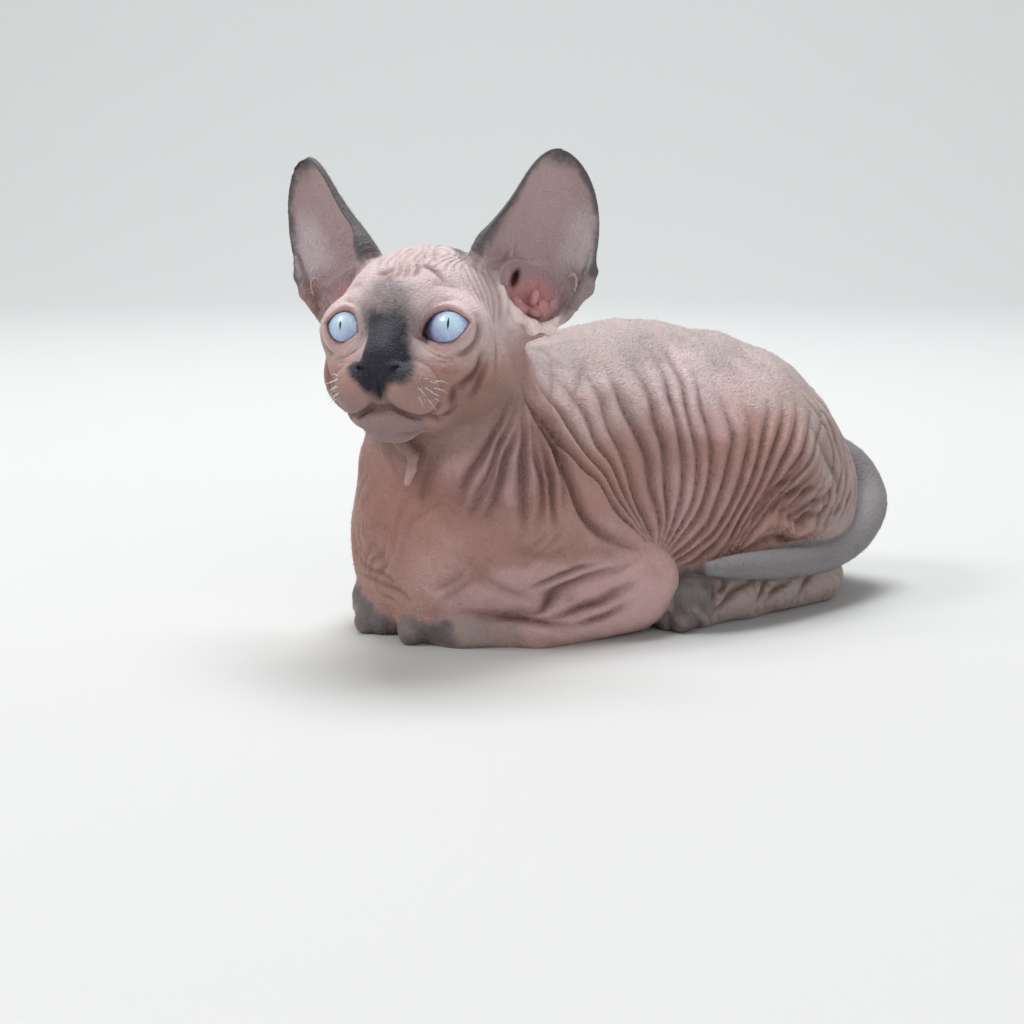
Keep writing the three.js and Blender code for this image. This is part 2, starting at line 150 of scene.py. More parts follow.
# The trunk's half width, top and lowest line at stations from the breast to the tail's root
STATIONS = (-80, -66, -50, -32, -12, 10, 32, 50, 64, 74, 84, 94)
HALF_WIDTHS = smooth_table(STATIONS, (24, 31, 34, 35, 36, 38, 39.5, 40, 36, 31, 24, 15.5), 6)
TOPS = smooth_table(STATIONS, (45, 60, 76, 88.5, 94, 94, 90.5, 86, 80, 73, 62, 48.5), 5)
LOWEST = smooth_table(STATIONS, (6, 2, -2, -4, -4, -4, -4, -4, -4, -3, 2, 11), 6)
SQUARENESS = 2.3
END_ROUNDING = 7.5
# Brings the distances of squarish and cupped shapes, which run large, down to near the true ones
NEAR_TRUE = 0.8


def trunk(p):
    """A barrel along Y: the power sum of the three offsets over half width, half height and end
    rounding, and the cross section narrows by a fifth towards the spine."""
    y = np.clip(p[:, 1], STATIONS[0], STATIONS[-1])
    width, top, low = (np.interp(y, *line).astype(np.float32) for line in (HALF_WIDTHS, TOPS, LOWEST))
    half = (top - low) / 2
    rise = (p[:, 2] - (top + low) / 2) / half
    narrow = width * (1 - 0.2 * np.clip(rise, 0, 1) ** 2) * (1.04 - 0.04 * np.minimum(rise * rise, 1))
    past = (p[:, 1] - y) / END_ROUNDING
    total = sum(np.abs(part) ** SQUARENESS for part in (p[:, 0] / narrow, rise, past))
    return (total ** (1 / SQUARENESS) - 1) * np.minimum(width, half) * NEAR_TRUE


def box_gap(p, low, high):
    """How far outside a box between its low and high corners: the greatest of the six offsets."""
    return np.maximum(np.float32(low) - p, p - np.float32(high)).max(1)


def nearby(p, low, high, width, shape):
    """The shape's distance near the box that holds it. Farther off than the width, where no fillet
    reaches, it is the distance to the box."""
    gap = box_gap(p, low, high)
    close = gap < width
    gap[close] = shape(p[close])
    return gap


def thigh(p, s):
    """A thigh folded against the flank, with the shin along its foot."""
    shin = bone(p, (26 * s, 10, 25), (25 * s, 58, 19), 13, 12)
    return join(12, ball(p, (20 * s, 44, 31), (21, 34, 32)), shin)


def body(p):
    """Trunk, breast, thighs, upper arms, elbows and neck."""
    whole = join(24, trunk(p), ball(p, (-4, -58, 40), (36, 28, 35)))
    whole = join(22, whole, bone(p, (-3, -50, 46), (9, -73, 78), 32, 24))
    for s in (LEFT, RIGHT):
        low, high = (min(0, 46 * s), 0, -2), (max(0, 46 * s), 80, 66)
        whole = join(16, whole, nearby(p, low, high, 17, lambda p: thigh(p, s)))
    whole = join(9, whole, bone(p, (19, -52, 40), (31, -21, 17), 24, 11.5))
    whole = join(9, whole, bone(p, (-20, -52, 38), (-31, -24, 17), 22, 12))
    whole = join(2.2, whole, bone(p, (24, -42, 27), (33.5, -16.5, 16.8), 16, 11.6))
    return join(2.2, whole, bone(p, (-25, -42, 26), (-34, -18, 16.8), 15, 11))


TOE_RADIUS = 3.9


def toes(p, heel, tip, knuckle=5.6):
    """Four toes side by side ahead of a paw that points from heel to tip, the middle two longer,
    each an upright ellipsoid with a bone for its top joint at the knuckle's height."""
    forward = unit(np.subtract(tip, heel) * (1, 1, 0))
    across = np.array((forward[1], -forward[0], 0))
    shapes = []
    for step in (-1.5, -0.5, 0.5, 1.5):
        ahead = 3.4 if abs(step) < 1 else 1.4
        place = np.array(tip) * (1, 1, 0) + forward * ahead + across * step * TOE_RADIUS * 1.1
        shapes.append(ball(p, place + (0, 0, 3.5), (TOE_RADIUS * 0.95, TOE_RADIUS * 1.1, TOE_RADIUS)))
        shapes.append(bone(p, place - forward * 7 + (0, 0, knuckle + 1), place + (0, 0, knuckle), 3.4, 3.1))
    return join(1.1, *[join(2.5, a, b) for a, b in zip(shapes[::2], shapes[1::2])])


FOREPAWS = (
    (((26, -54, 6), (15, -71, 5.5), (5, -78, 5.5)), (8.5, 8.5, 6.5)),
    (((-29, -65, 8), (-22, -76, 7), (-12, -80.5, 5.5)), (9.5, 9, 6.5)),
)
FOREARMS = (
    (((33, -18, 11.5), (29, -52, 7)), (11, 9.5)),
    (((-33, -22, 11.5), (-29, -63, 8)), (11, 9.5)),
)


def forelegs(p):
    """Both forearms and paws, folded under the breast."""
    parts = [join(5, limb(p, 6, *arm), join(3, limb(p, 4, *paw), toes(p, *paw[0][1:])))
             for arm, paw in zip(FOREARMS, FOREPAWS)]
    return np.minimum(*parts)


# The left hind foot from the hock forward, and the height of its knuckles
HINDFOOT = ((31, 62, 8), (36, 24, 7.6), (36.5, 3, 8.6), (35.5, -4, 7.5))
HIND_KNUCKLE = 10.4


def hindfoot(p, side):
    """The long hind foot from the hock forward to its toes."""
    joints = [(x * side, y, z) for x, y, z in HINDFOOT]
    return join(3, limb(p, 5, joints, (8.5, 7.8, 9, 7.4)), toes(p, *joints[2:], HIND_KNUCKLE))


def hindfeet(p, margin=3):
    """Distance to both hind feet near the box that holds them."""
    return nearby(p, (-50, -18, -2), (50, 76, 22), margin,
                  lambda p: np.minimum(hindfoot(p, LEFT), hindfoot(p, RIGHT)))


TAIL_LINE = ((0, 88, 46), (8.5, 97.5, 40), (17, 98, 31.5), (26, 89, 25.6), (35, 72, 19.6),
             (41.5, 51, 17.2), (46, 28.4, 18.4), (47, 10.6, 19.6), (46, 1, 19.8))
TAIL_RADII = (8, 6.6, 6.0, 5.8, 5.5, 5.2, 4.7, 3.7, 2.2)


def line_through(points, count=32):
    """Even steps along a smooth line through the points (Catmull-Rom)."""
    points = np.asarray(points, float)
    ends = np.concatenate([[2 * points[0] - points[1]], points, [2 * points[-1] - points[-2]]])
    where = np.linspace(0, len(points) - 1 - 1e-6, count)
    i, t = where.astype(int), (where % 1)[:, None]
    a, b, c, d = (ends[i + k] for k in range(4))
    line = b + 0.5 * t * (c - a + t * (2 * a - 5 * b + 4 * c - d + t * (3 * (b - c) + d - a)))
    return np.float32(line)


TAIL_COURSE = line_through([(*place, radius) for place, radius in zip(TAIL_LINE, TAIL_RADII)], 26)


def tail(p, margin=3):
    """Distance to the tail near the box that holds it."""
    return nearby(p, (-10, -2, 8), (54, 109, 56), margin,
                  lambda p: limb(p, 0.01, TAIL_COURSE[:, :3], TAIL_COURSE[:, 3]))


# The head, in its own frame: x to its left, y back, z up
def turned(yaw, pitch, roll):
    """Columns left, back and up of a head turned by yaw, then lifted by pitch, then leaned."""
    yaw, pitch, roll = np.radians((yaw, pitch, roll))
    back = np.array((-math.sin(yaw) * math.cos(pitch), math.cos(yaw) * math.cos(pitch), -math.sin(pitch)))
    level = np.array((math.cos(yaw), math.sin(yaw), 0.0))
    upright = np.cross(level, back)
    left = level * math.cos(roll) - upright * math.sin(roll)
    return np.float32(np.stack([left, back, upright * math.cos(roll) + level * math.sin(roll)], 1))


HEAD_TURN = turned(HEAD_YAW, HEAD_PITCH, HEAD_ROLL)
EAR_TURN = frame_along((11.4, -6.8, 35.9), (25.6, 14.5, 2.6))
EYE_TURN = frame_along((0.1, -0.985, -0.03), (0.93, 0.4, 0.3))
# The opening between the lids: its middle, and its half widths towards the nose and away from it. The
# right eye, seen past the nose, opens a little less.
LID_OPENING = {LEFT: (-0.9, 7.5, 6.7), RIGHT: (-0.2, 4.9, 5.4)}


def in_head(p):
    """Points in the head's own frame."""
    return (p - np.float32(HEAD_PLACE)) @ HEAD_TURN


def mirrored(p, side):
    """The points for the left side, and their mirror images for the right."""
    return p * np.float32((side, 1, 1))


def on_side(q, side, place, turn):
    """Points of the head's frame in an ear's or eye's frame, mirrored for the right side."""
    return (mirrored(q, side) - np.float32(place)) @ turn


def ear_rims(h):
    """The blade's inner and outer rim at height h: two power curves that meet at the tip, the inner
    one swelling towards the foot, both leaning inwards as they rise."""
    rise = np.clip((h - 8) / (EAR_HEIGHT - 8), 0, 0.99999)
    fall = np.clip((8 - h) / 22, 0, 0.99999)
    outer = 16.8 * np.where(h > 8, (1 - rise ** 2.4) ** 0.58, (1 - fall ** 2) ** 0.5)
    low = np.exp(-(np.maximum(h, 0) / 19) ** 3)
    inner = 12.5 * (1 - np.clip(h / EAR_HEIGHT, 0, 0.99999) ** 3) ** 0.5 + 7 * low
    lean = 1.6 * rise * rise
    return -inner - lean, outer - lean


def ear_depth(h):
    """How far back the cup's middle lies at height h: deep at the foot and shallow at the tip."""
    return 11.5 * np.clip(1 - h / 44, 0, 1) ** 0.9 + 1.2


def ear_blade(e):
    """Distance to the cupped blade: half its thickness about a middle surface that is deepest
    midway between the rims, with a rounded edge."""
    s, m, h = e[:, 0], e[:, 1], e[:, 2]
    inner, outer = ear_rims(h)
    half = np.maximum((outer - inner) / 2, 0.5)
    x = np.minimum(np.abs(s - (inner + outer) / 2) / half, 1.25)
    depth = ear_depth(h)
    slope = depth * 2.2 * x ** 1.2 / np.maximum(half, 4)
    across = (m - 1 - depth * (1 - x ** 2.2)) / np.sqrt(1 + slope * slope)
    thick = 0.85 + 0.9 * np.clip(1 - h / 30, 0, 1)
    rise = np.clip((h - 8) / (EAR_HEIGHT - 8), 0, 0.985)
    lean = 18 * 0.6 * 2.2 * rise ** 1.2 * (1 - rise ** 2.2) ** -0.42 / (EAR_HEIGHT - 8)
    edge = (np.abs(s - (inner + outer) / 2) - half) / np.sqrt(1 + lean * lean)
    edge = np.maximum(np.maximum(edge, h - EAR_HEIGHT), -h - 13)
    flat = np.maximum(np.abs(across) - thick * 0.3, 0)
    return (np.hypot(flat, np.maximum(edge + thick * 0.7, 0)) - thick * 0.7) * NEAR_TRUE


def lid_gap(e, side):
    """How far outside the almond opening between the lids, in the eye's frame: a power curve for
    each lid that meets the other at the two corners. Inside it is negative."""
    middle, inward, outward = LID_OPENING[side]
    x = e[:, 0] - middle
    share = np.minimum(np.abs(x) / np.where(x < 0, inward, outward), 2.2)
    tilt = 0.4 - 0.05 * x
    upper = 4.4 * (1 - share ** 2.3) + tilt
    lower = 4.1 * (1 - share ** 2.0) - tilt
    return np.maximum(e[:, 1] - upper, -e[:, 1] - lower) * NEAR_TRUE


def lid_ring(e, side, reach=8.1):
    """How far outside the two lids, in the eye's frame: they fill a round field about the opening,
    and a narrow border at its corners."""
    return np.minimum(lid_gap(e, side) - 1.2, np.hypot(e[:, 0] - 0.3, e[:, 1]) - reach)


def pads(q):
    """Both whisker pads, and the small wedge that fills the gap between them under the nose."""
    both = [join(4, ball(q, (6.8 * s, -30, -14.4), (8, 8.6, 6.8)),
                 ball(q, (9 * s, -27.8, -17.2), (5.8, 6.4, 5.6))) for s in (LEFT, RIGHT)]
    return join(1.5, np.minimum(*both), ball(q, (0, -32.2, -17.3), (4.2, 3.0, 3.5)))


def padless(q):
    """Skull, brow, cheeks, jaw, muzzle, nose and chin."""
    whole = join(14, ball(q, (0, 7, 7.0), (26, 30, 24.3)), ball(q, (0, -11, 8.9), (18.5, 18, 16)))
    for s in (LEFT, RIGHT):
        whole = join(10, whole, ball(q, (15 * s, -6, -8), (12.5, 17, 13)))
    for s in (LEFT, RIGHT):
        whole = join(7, whole, ball(q, (11 * s, -19, -9), (9, 9.5, 8.5)))
        whole = join(7, whole, ball(q, (8 * s, -17.5, -18.5), (8.5, 12, 7.5)))
    whole = join(7, whole, ball(q, (0, -23, -13), (11, 13.5, 10.5)),
                 bone(q, (0, -21, 5), (0, -34.6, -7), 7.2, 4.9))
    chin = ball(q, (0, -24.3, -24.6), (8.4, 7.9, 5.5))
    return join(3, whole, chin, ball(q, (0, -27, -24), (8.8, 5.2, 3)))


def face(q):
    """The whole face: the pads meet the rest in a narrow valley, and the nostrils are sunk in."""
    whole = join(1.2, padless(q), pads(q))
    for s in (LEFT, RIGHT):
        whole = join(2, whole, ball(q, (4.0 * s, -35.8, -10.4), (2.6, 2.6, 2.3)))
    for s in (LEFT, RIGHT):
        nostril = limb(q, 0.5, ((1.9 * s, -39.2, -12.3), (3.6 * s, -38.8, -11.8), (5.6 * s, -37.2, -10.4)),
                       (0.55, 0.95, 0.5))
        whole = carve(0.6, whole, nostril)
    return whole


def ear_lobe(e):
    """The flat pocket of skin outside the outer rim's foot."""
    course = ((15, -0.2, 15), (16.5, 0.2, 9.5), (16.5, 0.6, 4), (14.2, 0.2, -1.5))
    return limb(e, 2, course, (0.8, 1.7, 2, 1.3))


def ear_lip(e):
    """The uneven lower lip of the ear's opening."""
    course = ((-8.6, -2.4, -1), (-6.4, -3.2, -5), (-3.4, -3.8, -8), (0, -3.4, -8.4), (2.6, -4, -10),
              (5.4, -3.2, -9.9), (8.2, -2.6, -9.2), (10, -1.2, -6))
    return limb(e, 1, course, (0.5, 1.2, 2.3, 1.1, 2.3, 1.0, 2.0, 0.6))


def ear(whole, e):
    """The ear joined to a whole: a foot hollowed by the canal's bowl, the blade, the flare of the
    inner rim, the small double pocket of the outer rim, and the fleshy knobs in the bowl."""
    whole = join(6, whole, ball(e, (-0.5, 5.75, -4.0), (14, 9.75, 12)))
    bowl = join(2, ball(e, (2.0, 0.0, 1.0), (11.2, 11.6, 9.8)), ball(e, (3.4, 5.0, -4.2), (8.5, 6.5, 6.2)))
    whole = carve(2.2, whole, bowl)
    whole = join(2.5, whole, ear_blade(e))
    whole = join(4, whole, ball(e, (-16.8, 0.4, 7.0), (2.4, 2.6, 6.0)))
    whole = join(0.8, whole, ear_lobe(e))
    pocket = limb(e, 1, ((13.9, -1.6, 14), (14.2, -1.4, 8), (13, -1.2, 1)), (0.45, 0.8, 0.5))
    whole = carve(0.6, whole, pocket)
    turn = np.radians(np.linspace(-50, 170, 8))
    fold = np.stack([11.8 + 1.5 * np.cos(turn), 1.6 - 0.9 * np.cos(turn), 4.0 + 3.4 * np.sin(turn)], 1)
    whole = join(1.2, whole, limb(e, 0.5, fold, 0.15 + 0.33 * np.sin(np.linspace(0.2, 2.9, 8))))
    whole = join(2.5, whole, limb(e, 1, ((-6.6, 8.6, 12), (-6.4, 8.4, 5), (-6.0, 6.0, -1)), (0.3, 1.1, 0.9)))
    flesh = join(1.5, ball(e, (6.5, 7.4, -7.0), (4.2, 3.2, 3.0)), ball(e, (0.4, 7.4, -7.6), (4.0, 3.2, 2.8)))
    knobs = join(0.5, ball(e, (3.2, 5.2, -2.4), (1.5, 1.5, 2.6)), ball(e, (6.6, 6.4, -4.0), (1.8, 1.5, 1.5)),
                 ball(e, (9.3, 5.6, -4.0), (1.3, 1.3, 2.6)), ball(e, (-1.4, 6.2, -5.0), (2.0, 1.6, 1.5)),
                 ball(e, (4.4, 3.6, -6.8), (2.2, 1.8, 1.3)))
    whole = join(1.4, join(1.2, whole, flesh, knobs), ear_lip(e))
    return carve(0.9, whole, ball(e, (-2.6, 10.0, 1.2), (0.9, 2.6, 2.2)))


def head(q):
    """The face with eyes, lids and ears."""
    whole = face(q)
    for s in (LEFT, RIGHT):
        eye = on_side(q, s, EYE_PLACE, EYE_TURN)
        reach = lengths(eye)
        gap = lid_gap(eye, s)
        thick = 0.55 + 1.15 * np.clip(gap / 1.6, 0, 1) + 0.7 * np.clip((gap - 1.4) / 1.8, 0, 1)
        whole = join(5, whole, reach - EYE_RADIUS - 1.6)
        slope = 0.8 * np.clip(reach - EYE_RADIUS - 2.0, 0, 1.0)
        ring = lid_ring(eye, s)
        thick += 1.1 * np.clip((ring + 2.2) / 2.2, 0, 1)
        whole = carve(1.2, whole, np.maximum.reduce([ring - slope, EYE_RADIUS + thick - reach, -eye[:, 2]]))
        whole = carve(0.35, whole, np.maximum(gap, -eye[:, 2]))
        ear_q = on_side(q, s, EAR_PLACE, EAR_TURN)
        close = box_gap(ear_q, (-22, -12, -19), (20, 18, 43)) < 7
        whole[close] = ear(whole[close], ear_q[close])
    return whole


# A thin fold of loose skin hangs from the chin down the throat
CHIN_STRAND = ((17.6, -97, 67.5), (19.4, -93.6, 62.5), (20.6, -91, 59.5), (18.6, -90.2, 55.4),
               (15.8, -90.2, 51))
# About how far the head with its ears reaches from its middle
HEAD_REACH = 70


def chin_strand(p):
    """Distance to the strand, which tapers towards its lower end."""
    return limb(p, 1, CHIN_STRAND, (1.9, 1.8, 1.7, 1.5, 0.9))


def hide(p):
    """The whole kitten's distance, before folds."""
    whole = body(p)
    q = in_head(p)
    far = lengths(q)
    near = far < HEAD_REACH + 10
    skull = (far - HEAD_REACH).astype(np.float32)
    skull[near] = head(q[near])
    whole = join(9, whole, skull)
    whole = join(1, whole, nearby(p, (12, -100, 49), (24, -86, 71), 2, chin_strand))
    whole = join(6, whole, nearby(p, (-46, -92, -2), (46, -4, 26), 7, forelegs))
    whole = join(1.2, join(1.6, whole, hindfeet(p)), tail(p))
    return np.maximum(whole, -p[:, 2])


# The folds, as heights over the smooth hide
def ease(low, high, value):
    """0 at low, 1 at high and a smooth S between them. Low may be the greater."""
    t = np.clip((value - low) / (high - low), 0, 1)
    return t * t * (3 - 2 * t)


def wander(p, size, seed):
    """A smooth random value of about -1 to 1: the mean of six sine waves of random direction whose
    lengths lie about the given size."""
    draw = np.random.default_rng(seed)
    total = np.zeros(len(p), np.float32)
    for _ in range(6):
        wave = unit(draw.normal(size=3)) * 2 * math.pi / size * draw.uniform(0.6, 1.3)
        total += np.sin(p @ np.float32(wave) + np.float32(draw.uniform(0, 2 * math.pi)))
    return total / 3


def pleats(count, sharpness=0.7):
    """Round ridges with a narrow valley at each whole number: |sin(pi count)| to a power, with the
    valley's very bottom rounded."""
    return (np.sin(np.pi * count) ** 2 + 0.04) ** (sharpness / 2)


# Where chosen valleys of the flank cross six levels, as places along Y, seen from the side
FLANK_LEVELS = (26, 32, 40, 52, 65, 78)
FLANK_VALLEYS = {
    1: (-15, -20, -30, -41, -48, -58),
    4: (-13.5, -17, -21.5, -26, -28, -30),
    5: (-12, -12.5, -13, -16.5, -19.5, -22),
    7: (-10, -8, -5.5, -4, -3, -2.5),
    9: (-6, -3, 3, 7, 7.5, 8.5),
    11: (2, 9, 15, 20, 24, 29),
    13: (12, 17, 21.5, 31, 40, 49),
    16: (18, 23.5, 33, 49, 61, 71),
}
FLANK_TOPS = ((1, 4, 6, 7.5, 8.5, 9.5, 11, 12.5, 14, 16, 18), (79, 79, 80, 87, 84, 72, 63, 68, 66, 63, 60))


def flank_count(y, z):
    """Which fold of the fan a place lies in: each chosen valley is a cubic of the height, and the
    count runs evenly from one to the next."""
    z = np.clip(z, 18, 86)
    lines = [np.polyval(np.polyfit(FLANK_LEVELS, places, 3), z) for places in FLANK_VALLEYS.values()]
    names = list(FLANK_VALLEYS)
    count = names[0] + (y - lines[0]) / 7.0
    for i in range(len(names) - 1):
        share = (y - lines[i]) / np.maximum(lines[i + 1] - lines[i], 0.5)
        count = np.where(share > 0, names[i] + (names[i + 1] - names[i]) * np.minimum(share, 1), count)
    return np.where(y > lines[-1], names[-1] + (y - lines[-1]) / 5.5, count)


def oval(y, z, middle, half):
    """How far out of an oval seen from the side, 1 at its edge."""
    return np.hypot((y - middle[0]) / half[0], (z - middle[1]) / half[1])


def egg(offsets, half):
    """How far out of an ellipsoid of the given half sizes, 1 at its surface."""
    return np.sqrt((offsets ** 2 / np.float32(half) ** 2).sum(1))


def fold_layers(p):
    """Each family of folds as (name, count, strength, height, sharpness): a valley lies wherever the
    count is whole, the ridges between stand up by the height in millimetres, and the strength says
    where the family shows."""
    q = in_head(p)
    body_share = ease(24, 33, lengths(q))
    y, z = p[:, 1], p[:, 2]
    on_foot = ease(1.6, 0.6, hindfeet(p))
    outer = ease(12, 24, np.abs(p[:, 0])) * body_share * ease(0.7, 1.8, tail(p)) * (1 - on_foot)
    drift = wander(p, 26, 1) * 0.16 + wander(p, 9, 2) * 0.05 + (p[:, 0] < 0) * 0.4

    count = flank_count(y, z) + drift
    top = np.interp(count, *FLANK_TOPS)
    behind_elbow = ease(11, 14, np.hypot(y + 17, z - 17))
    show = (ease(0.45, 0.9, count) * ease(17.6, 15.6, count) * ease(top + 6, top - 12, z) * ease(15, 22, z)
            * outer * behind_elbow)
    yield 'fan', count, show, 3.0 * (0.85 + 0.3 * wander(p, 30, 3)), 0.75

    bend = np.where(z > 48, ((z - 48) / 9) ** 2, ((z - 48) / 5) ** 2)
    count = (y + bend - 60) / 4.6 + drift
    show = ease(-0.9, 0.2, count) * ease(4.6, 3.2, count) * ease(72, 58, z) * ease(26, 34, z) * outer
    yield 'rump', count, show, 1.7, 0.7

    across = 0.66 * y - 0.75 * z
    count = (across + 1.9 * wander(p, 17, 4) + 0.6 * wander(p, 6, 5)) / 4.4
    show = 0.9 * ease(1.25, 0.6, oval(y, z, (41, 34), (20, 13))) * outer
    yield 'crumple', count, show, 2.8, 0.75

    count = (0.5 * p[:, 0] + z) / 4.5 + 0.8 * wander(p, 9, 7)
    yield 'breast', count, ease(14, 5, away(p, (-12, -87, 26))), 0.45, 0.8

    nape = p @ np.float32(unit((12, -23, 32)))
    show = (ease(0, 12, -p[:, 0] * 0.3 + y + 62) * ease(-20, -34, y) * ease(62, 74, z) * ease(112, 104, z)
            * body_share)
    yield 'nape', nape / 6.5 + drift, show, 0.8, 0.7

    count = (0.35 * y + 0.25 * z - 0.8 * p[:, 0]) / 5.6 + 0.7 * wander(p, 24, 61)
    show = (ease(-30, -48, y) * ease(70, 56, z) * ease(6, 14, z) * body_share
            * ease(-0.5, 0.7, wander(p, 22, 62)))
    yield 'chest', count, show, 0.85, 0.9

    for line, seed in ((FOREPAWS[0][0], 70), (FOREPAWS[1][0], 71)):
        spot = p - np.float32(line[1])
        show = ease(17, 9, lengths(spot)) * ease(13, 8, z) * ease(-0.7, 0.5, wander(p, 14, seed + 5))
        along = np.float32(unit(np.subtract(line[2], line[0])))
        yield 'paw', (spot @ along) / 3.2 + 0.5 * wander(p, 8, seed), show, 0.4, 0.9
    show = on_foot * ease(1.0, 2.5, tail(p)) * ease(-0.6, 0.5, wander(p, 15, 9))
    yield 'foot', (y * 0.9 + z * 0.5) / 3.8 + 0.35 * wander(p, 11, 8), show, 0.5, 0.85

    crown = ease(1.25, 0.7, egg(q - np.float32((1, -14, 25)), (15, 13, 12)))
    yield 'crown', q[:, 0] / 2.3 + 0.7 * wander(q, 12, 41) + 0.03 * q[:, 1], crown, 0.24, 0.9
    spot = np.stack([np.abs(q[:, 0]), q[:, 1], q[:, 2]], 1) - np.float32((21, -7, 16))
    temple = ease(1.2, 0.6, egg(spot, (9, 13, 12)))
    yield 'temple', (q[:, 1] + 0.3 * np.abs(q[:, 0])) / 3.0 + 0.4 * wander(q, 16, 42), temple, 0.16, 0.9


# Creases of the face in the head's frame: depth, width, and the points each runs through. The first
# set lies on both sides, the second only where it is given.
PAIRED_CREASES = (
    (1.95, 1.1, ((24.9, -18, 0.6), (24.3, -18.4, -3.4), (23.4, -18.9, -8), (20.6, -21.5, -12.4),
                 (17.6, -23.2, -14.6))),
    (1.2, 0.9, ((25.2, -15.2, -3.7), (24.2, -17.6, -9.4), (22, -17.6, -14.5), (20, -16.8, -17.5))),
    (0.9, 0.8, ((24.6, -8.8, 7.8), (25.4, -9.7, 0.7), (26.1, -12.3, -5.4), (25, -13, -12))),
    (1.3, 0.9, ((18.2, -23.4, -13.7), (16.5, -21.7, -16.3), (14.5, -18.9, -18.6))),
    (1.2, 0.8, ((10.8, -28.5, -22.4), (12.2, -25.7, -22.6), (13.4, -23.2, -23), (14.4, -20.5, -23.6))),
    (1.2, 0.9, ((13, -23.5, -22.6), (14.6, -20.5, -20.5), (15.4, -17.5, -18))),
    (0.9, 1, ((3, -28.5, -26.8), (7, -24, -27), (10.5, -19, -25.5))),
    (0.6, 0.9, ((18.5, -24.5, -6.5), (15.5, -27, -7.5), (12.5, -28.5, -7))),
    (0.6, 0.9, ((20, -22.5, -9), (16.5, -25.5, -10), (13.8, -27.5, -10))),
    (0.75, 0.8, ((7.5, -28.6, -0.8), (6.9, -29.6, -3.4), (7.6, -30.2, -6))),
    (0.52, 1, ((9.4, -24, 13), (13, -22.5, 14.8), (17.5, -19.5, 14))),
)
SINGLE_CREASES = (
    (1.1, 0.8, ((5.3, -23.4, 20.3), (7.4, -22.6, 20.6), (10, -22.3, 19.3), (12.5, -22.3, 17),
                (14.2, -22.2, 14.7))),
    (0.9, 0.8, ((-1.2, -20.8, 23.1), (0.9, -25.6, 18.8), (0, -27.8, 15.6))),
    (0.9, 0.8, ((1.7, -21.8, 22.3), (3.1, -25.3, 18.8), (2.9, -27.5, 15.6))),
    (1, 0.8, ((4.2, -20.2, 23.2), (5.8, -24.3, 19.2), (5.5, -26.5, 16.3))),
    (0.78, 0.8, ((-1, -24.5, 19.8), (-1.8, -26.8, 16.8), (-1.5, -28.3, 14.4))),
    (0.9, 0.9, ((-6.6, -25, 17.6), (-3.4, -26, 17.9), (-1, -25, 19.5))),
    (0.78, 0.9, ((3.5, -10.9, 27.3), (5.5, -17.7, 24.2), (5.3, -21.7, 21.7))),
    (0.78, 0.9, ((5.2, -7.2, 27.9), (7.7, -15.5, 24.6), (10.1, -20, 20.8))),
    (0.68, 0.9, ((-1.5, -9, 28), (0.5, -16, 25.4), (1.7, -21.8, 22.3))),
    (0.68, 0.9, ((-6, -9, 27.4), (-4, -16, 25), (-2.8, -22, 21.4))),
    (0.68, 0.9, ((-10.5, -12, 24.6), (-8, -19, 22), (-7, -24, 18.3))),
    (1.1, 0.5, ((0, -38.5, -13), (0, -37.2, -16), (0, -35.4, -19.2), (0, -34, -21.4))),
)


def segment_gap(p, start, end):
    """Distance from each point to its own straight piece between a start and an end."""
    piece = end - start
    share = ((p - start) * piece).sum(1) / np.maximum((piece * piece).sum(1), 1e-9)
    return lengths(p - start - piece * np.clip(share, 0, 1)[:, None])


def grooves(p, lines, shape=None):
    """Depth of a set of grooves and how near their middles are, from 0 to 1: each groove is sharp at
    its line, falls off exponentially to both sides and fades at both ends. A negative depth raises a
    ridge. Each line is first drawn onto the shape, where one is given. Lines and points may both be
    given in two coordinates."""
    depths = np.zeros(len(p), np.float32)
    middles = np.zeros(len(p), np.float32)
    for depth, width, points in lines:
        line = line_through(points)
        if shape:
            line = drawn_on(line, shape, rounds=7)[0]
        middle = line.mean(0)
        reach = lengths(line - middle).max() + 4 * width
        near = np.nonzero(((p - middle) ** 2).sum(1) < reach ** 2)[0]
        if not len(near):
            continue
        gaps = sum((p[near, None, k] - line[None, :, k]) ** 2 for k in range(p.shape[1]))
        nearest = gaps.argmin(1)
        before, after = np.maximum(nearest - 1, 0), np.minimum(nearest + 1, len(line) - 1)
        gap = np.minimum(segment_gap(p[near], line[before], line[nearest]),
                         segment_gap(p[near], line[nearest], line[after])) / width
        fade = np.float32(np.sin(np.pi * (np.arange(len(line)) + 0.8) / (len(line) + 0.6)) ** 0.5)[nearest]
        depths[near] += depth * np.exp(0.4 - np.sqrt(0.16 + 1.2 * gap * gap)) * fade
        strength = min(1, max(depth, 0) / 1.3)
        middles[near] = np.maximum(middles[near], np.clip(1 - gap / 2.6, 0, 1) * fade * strength)
    return depths, middles


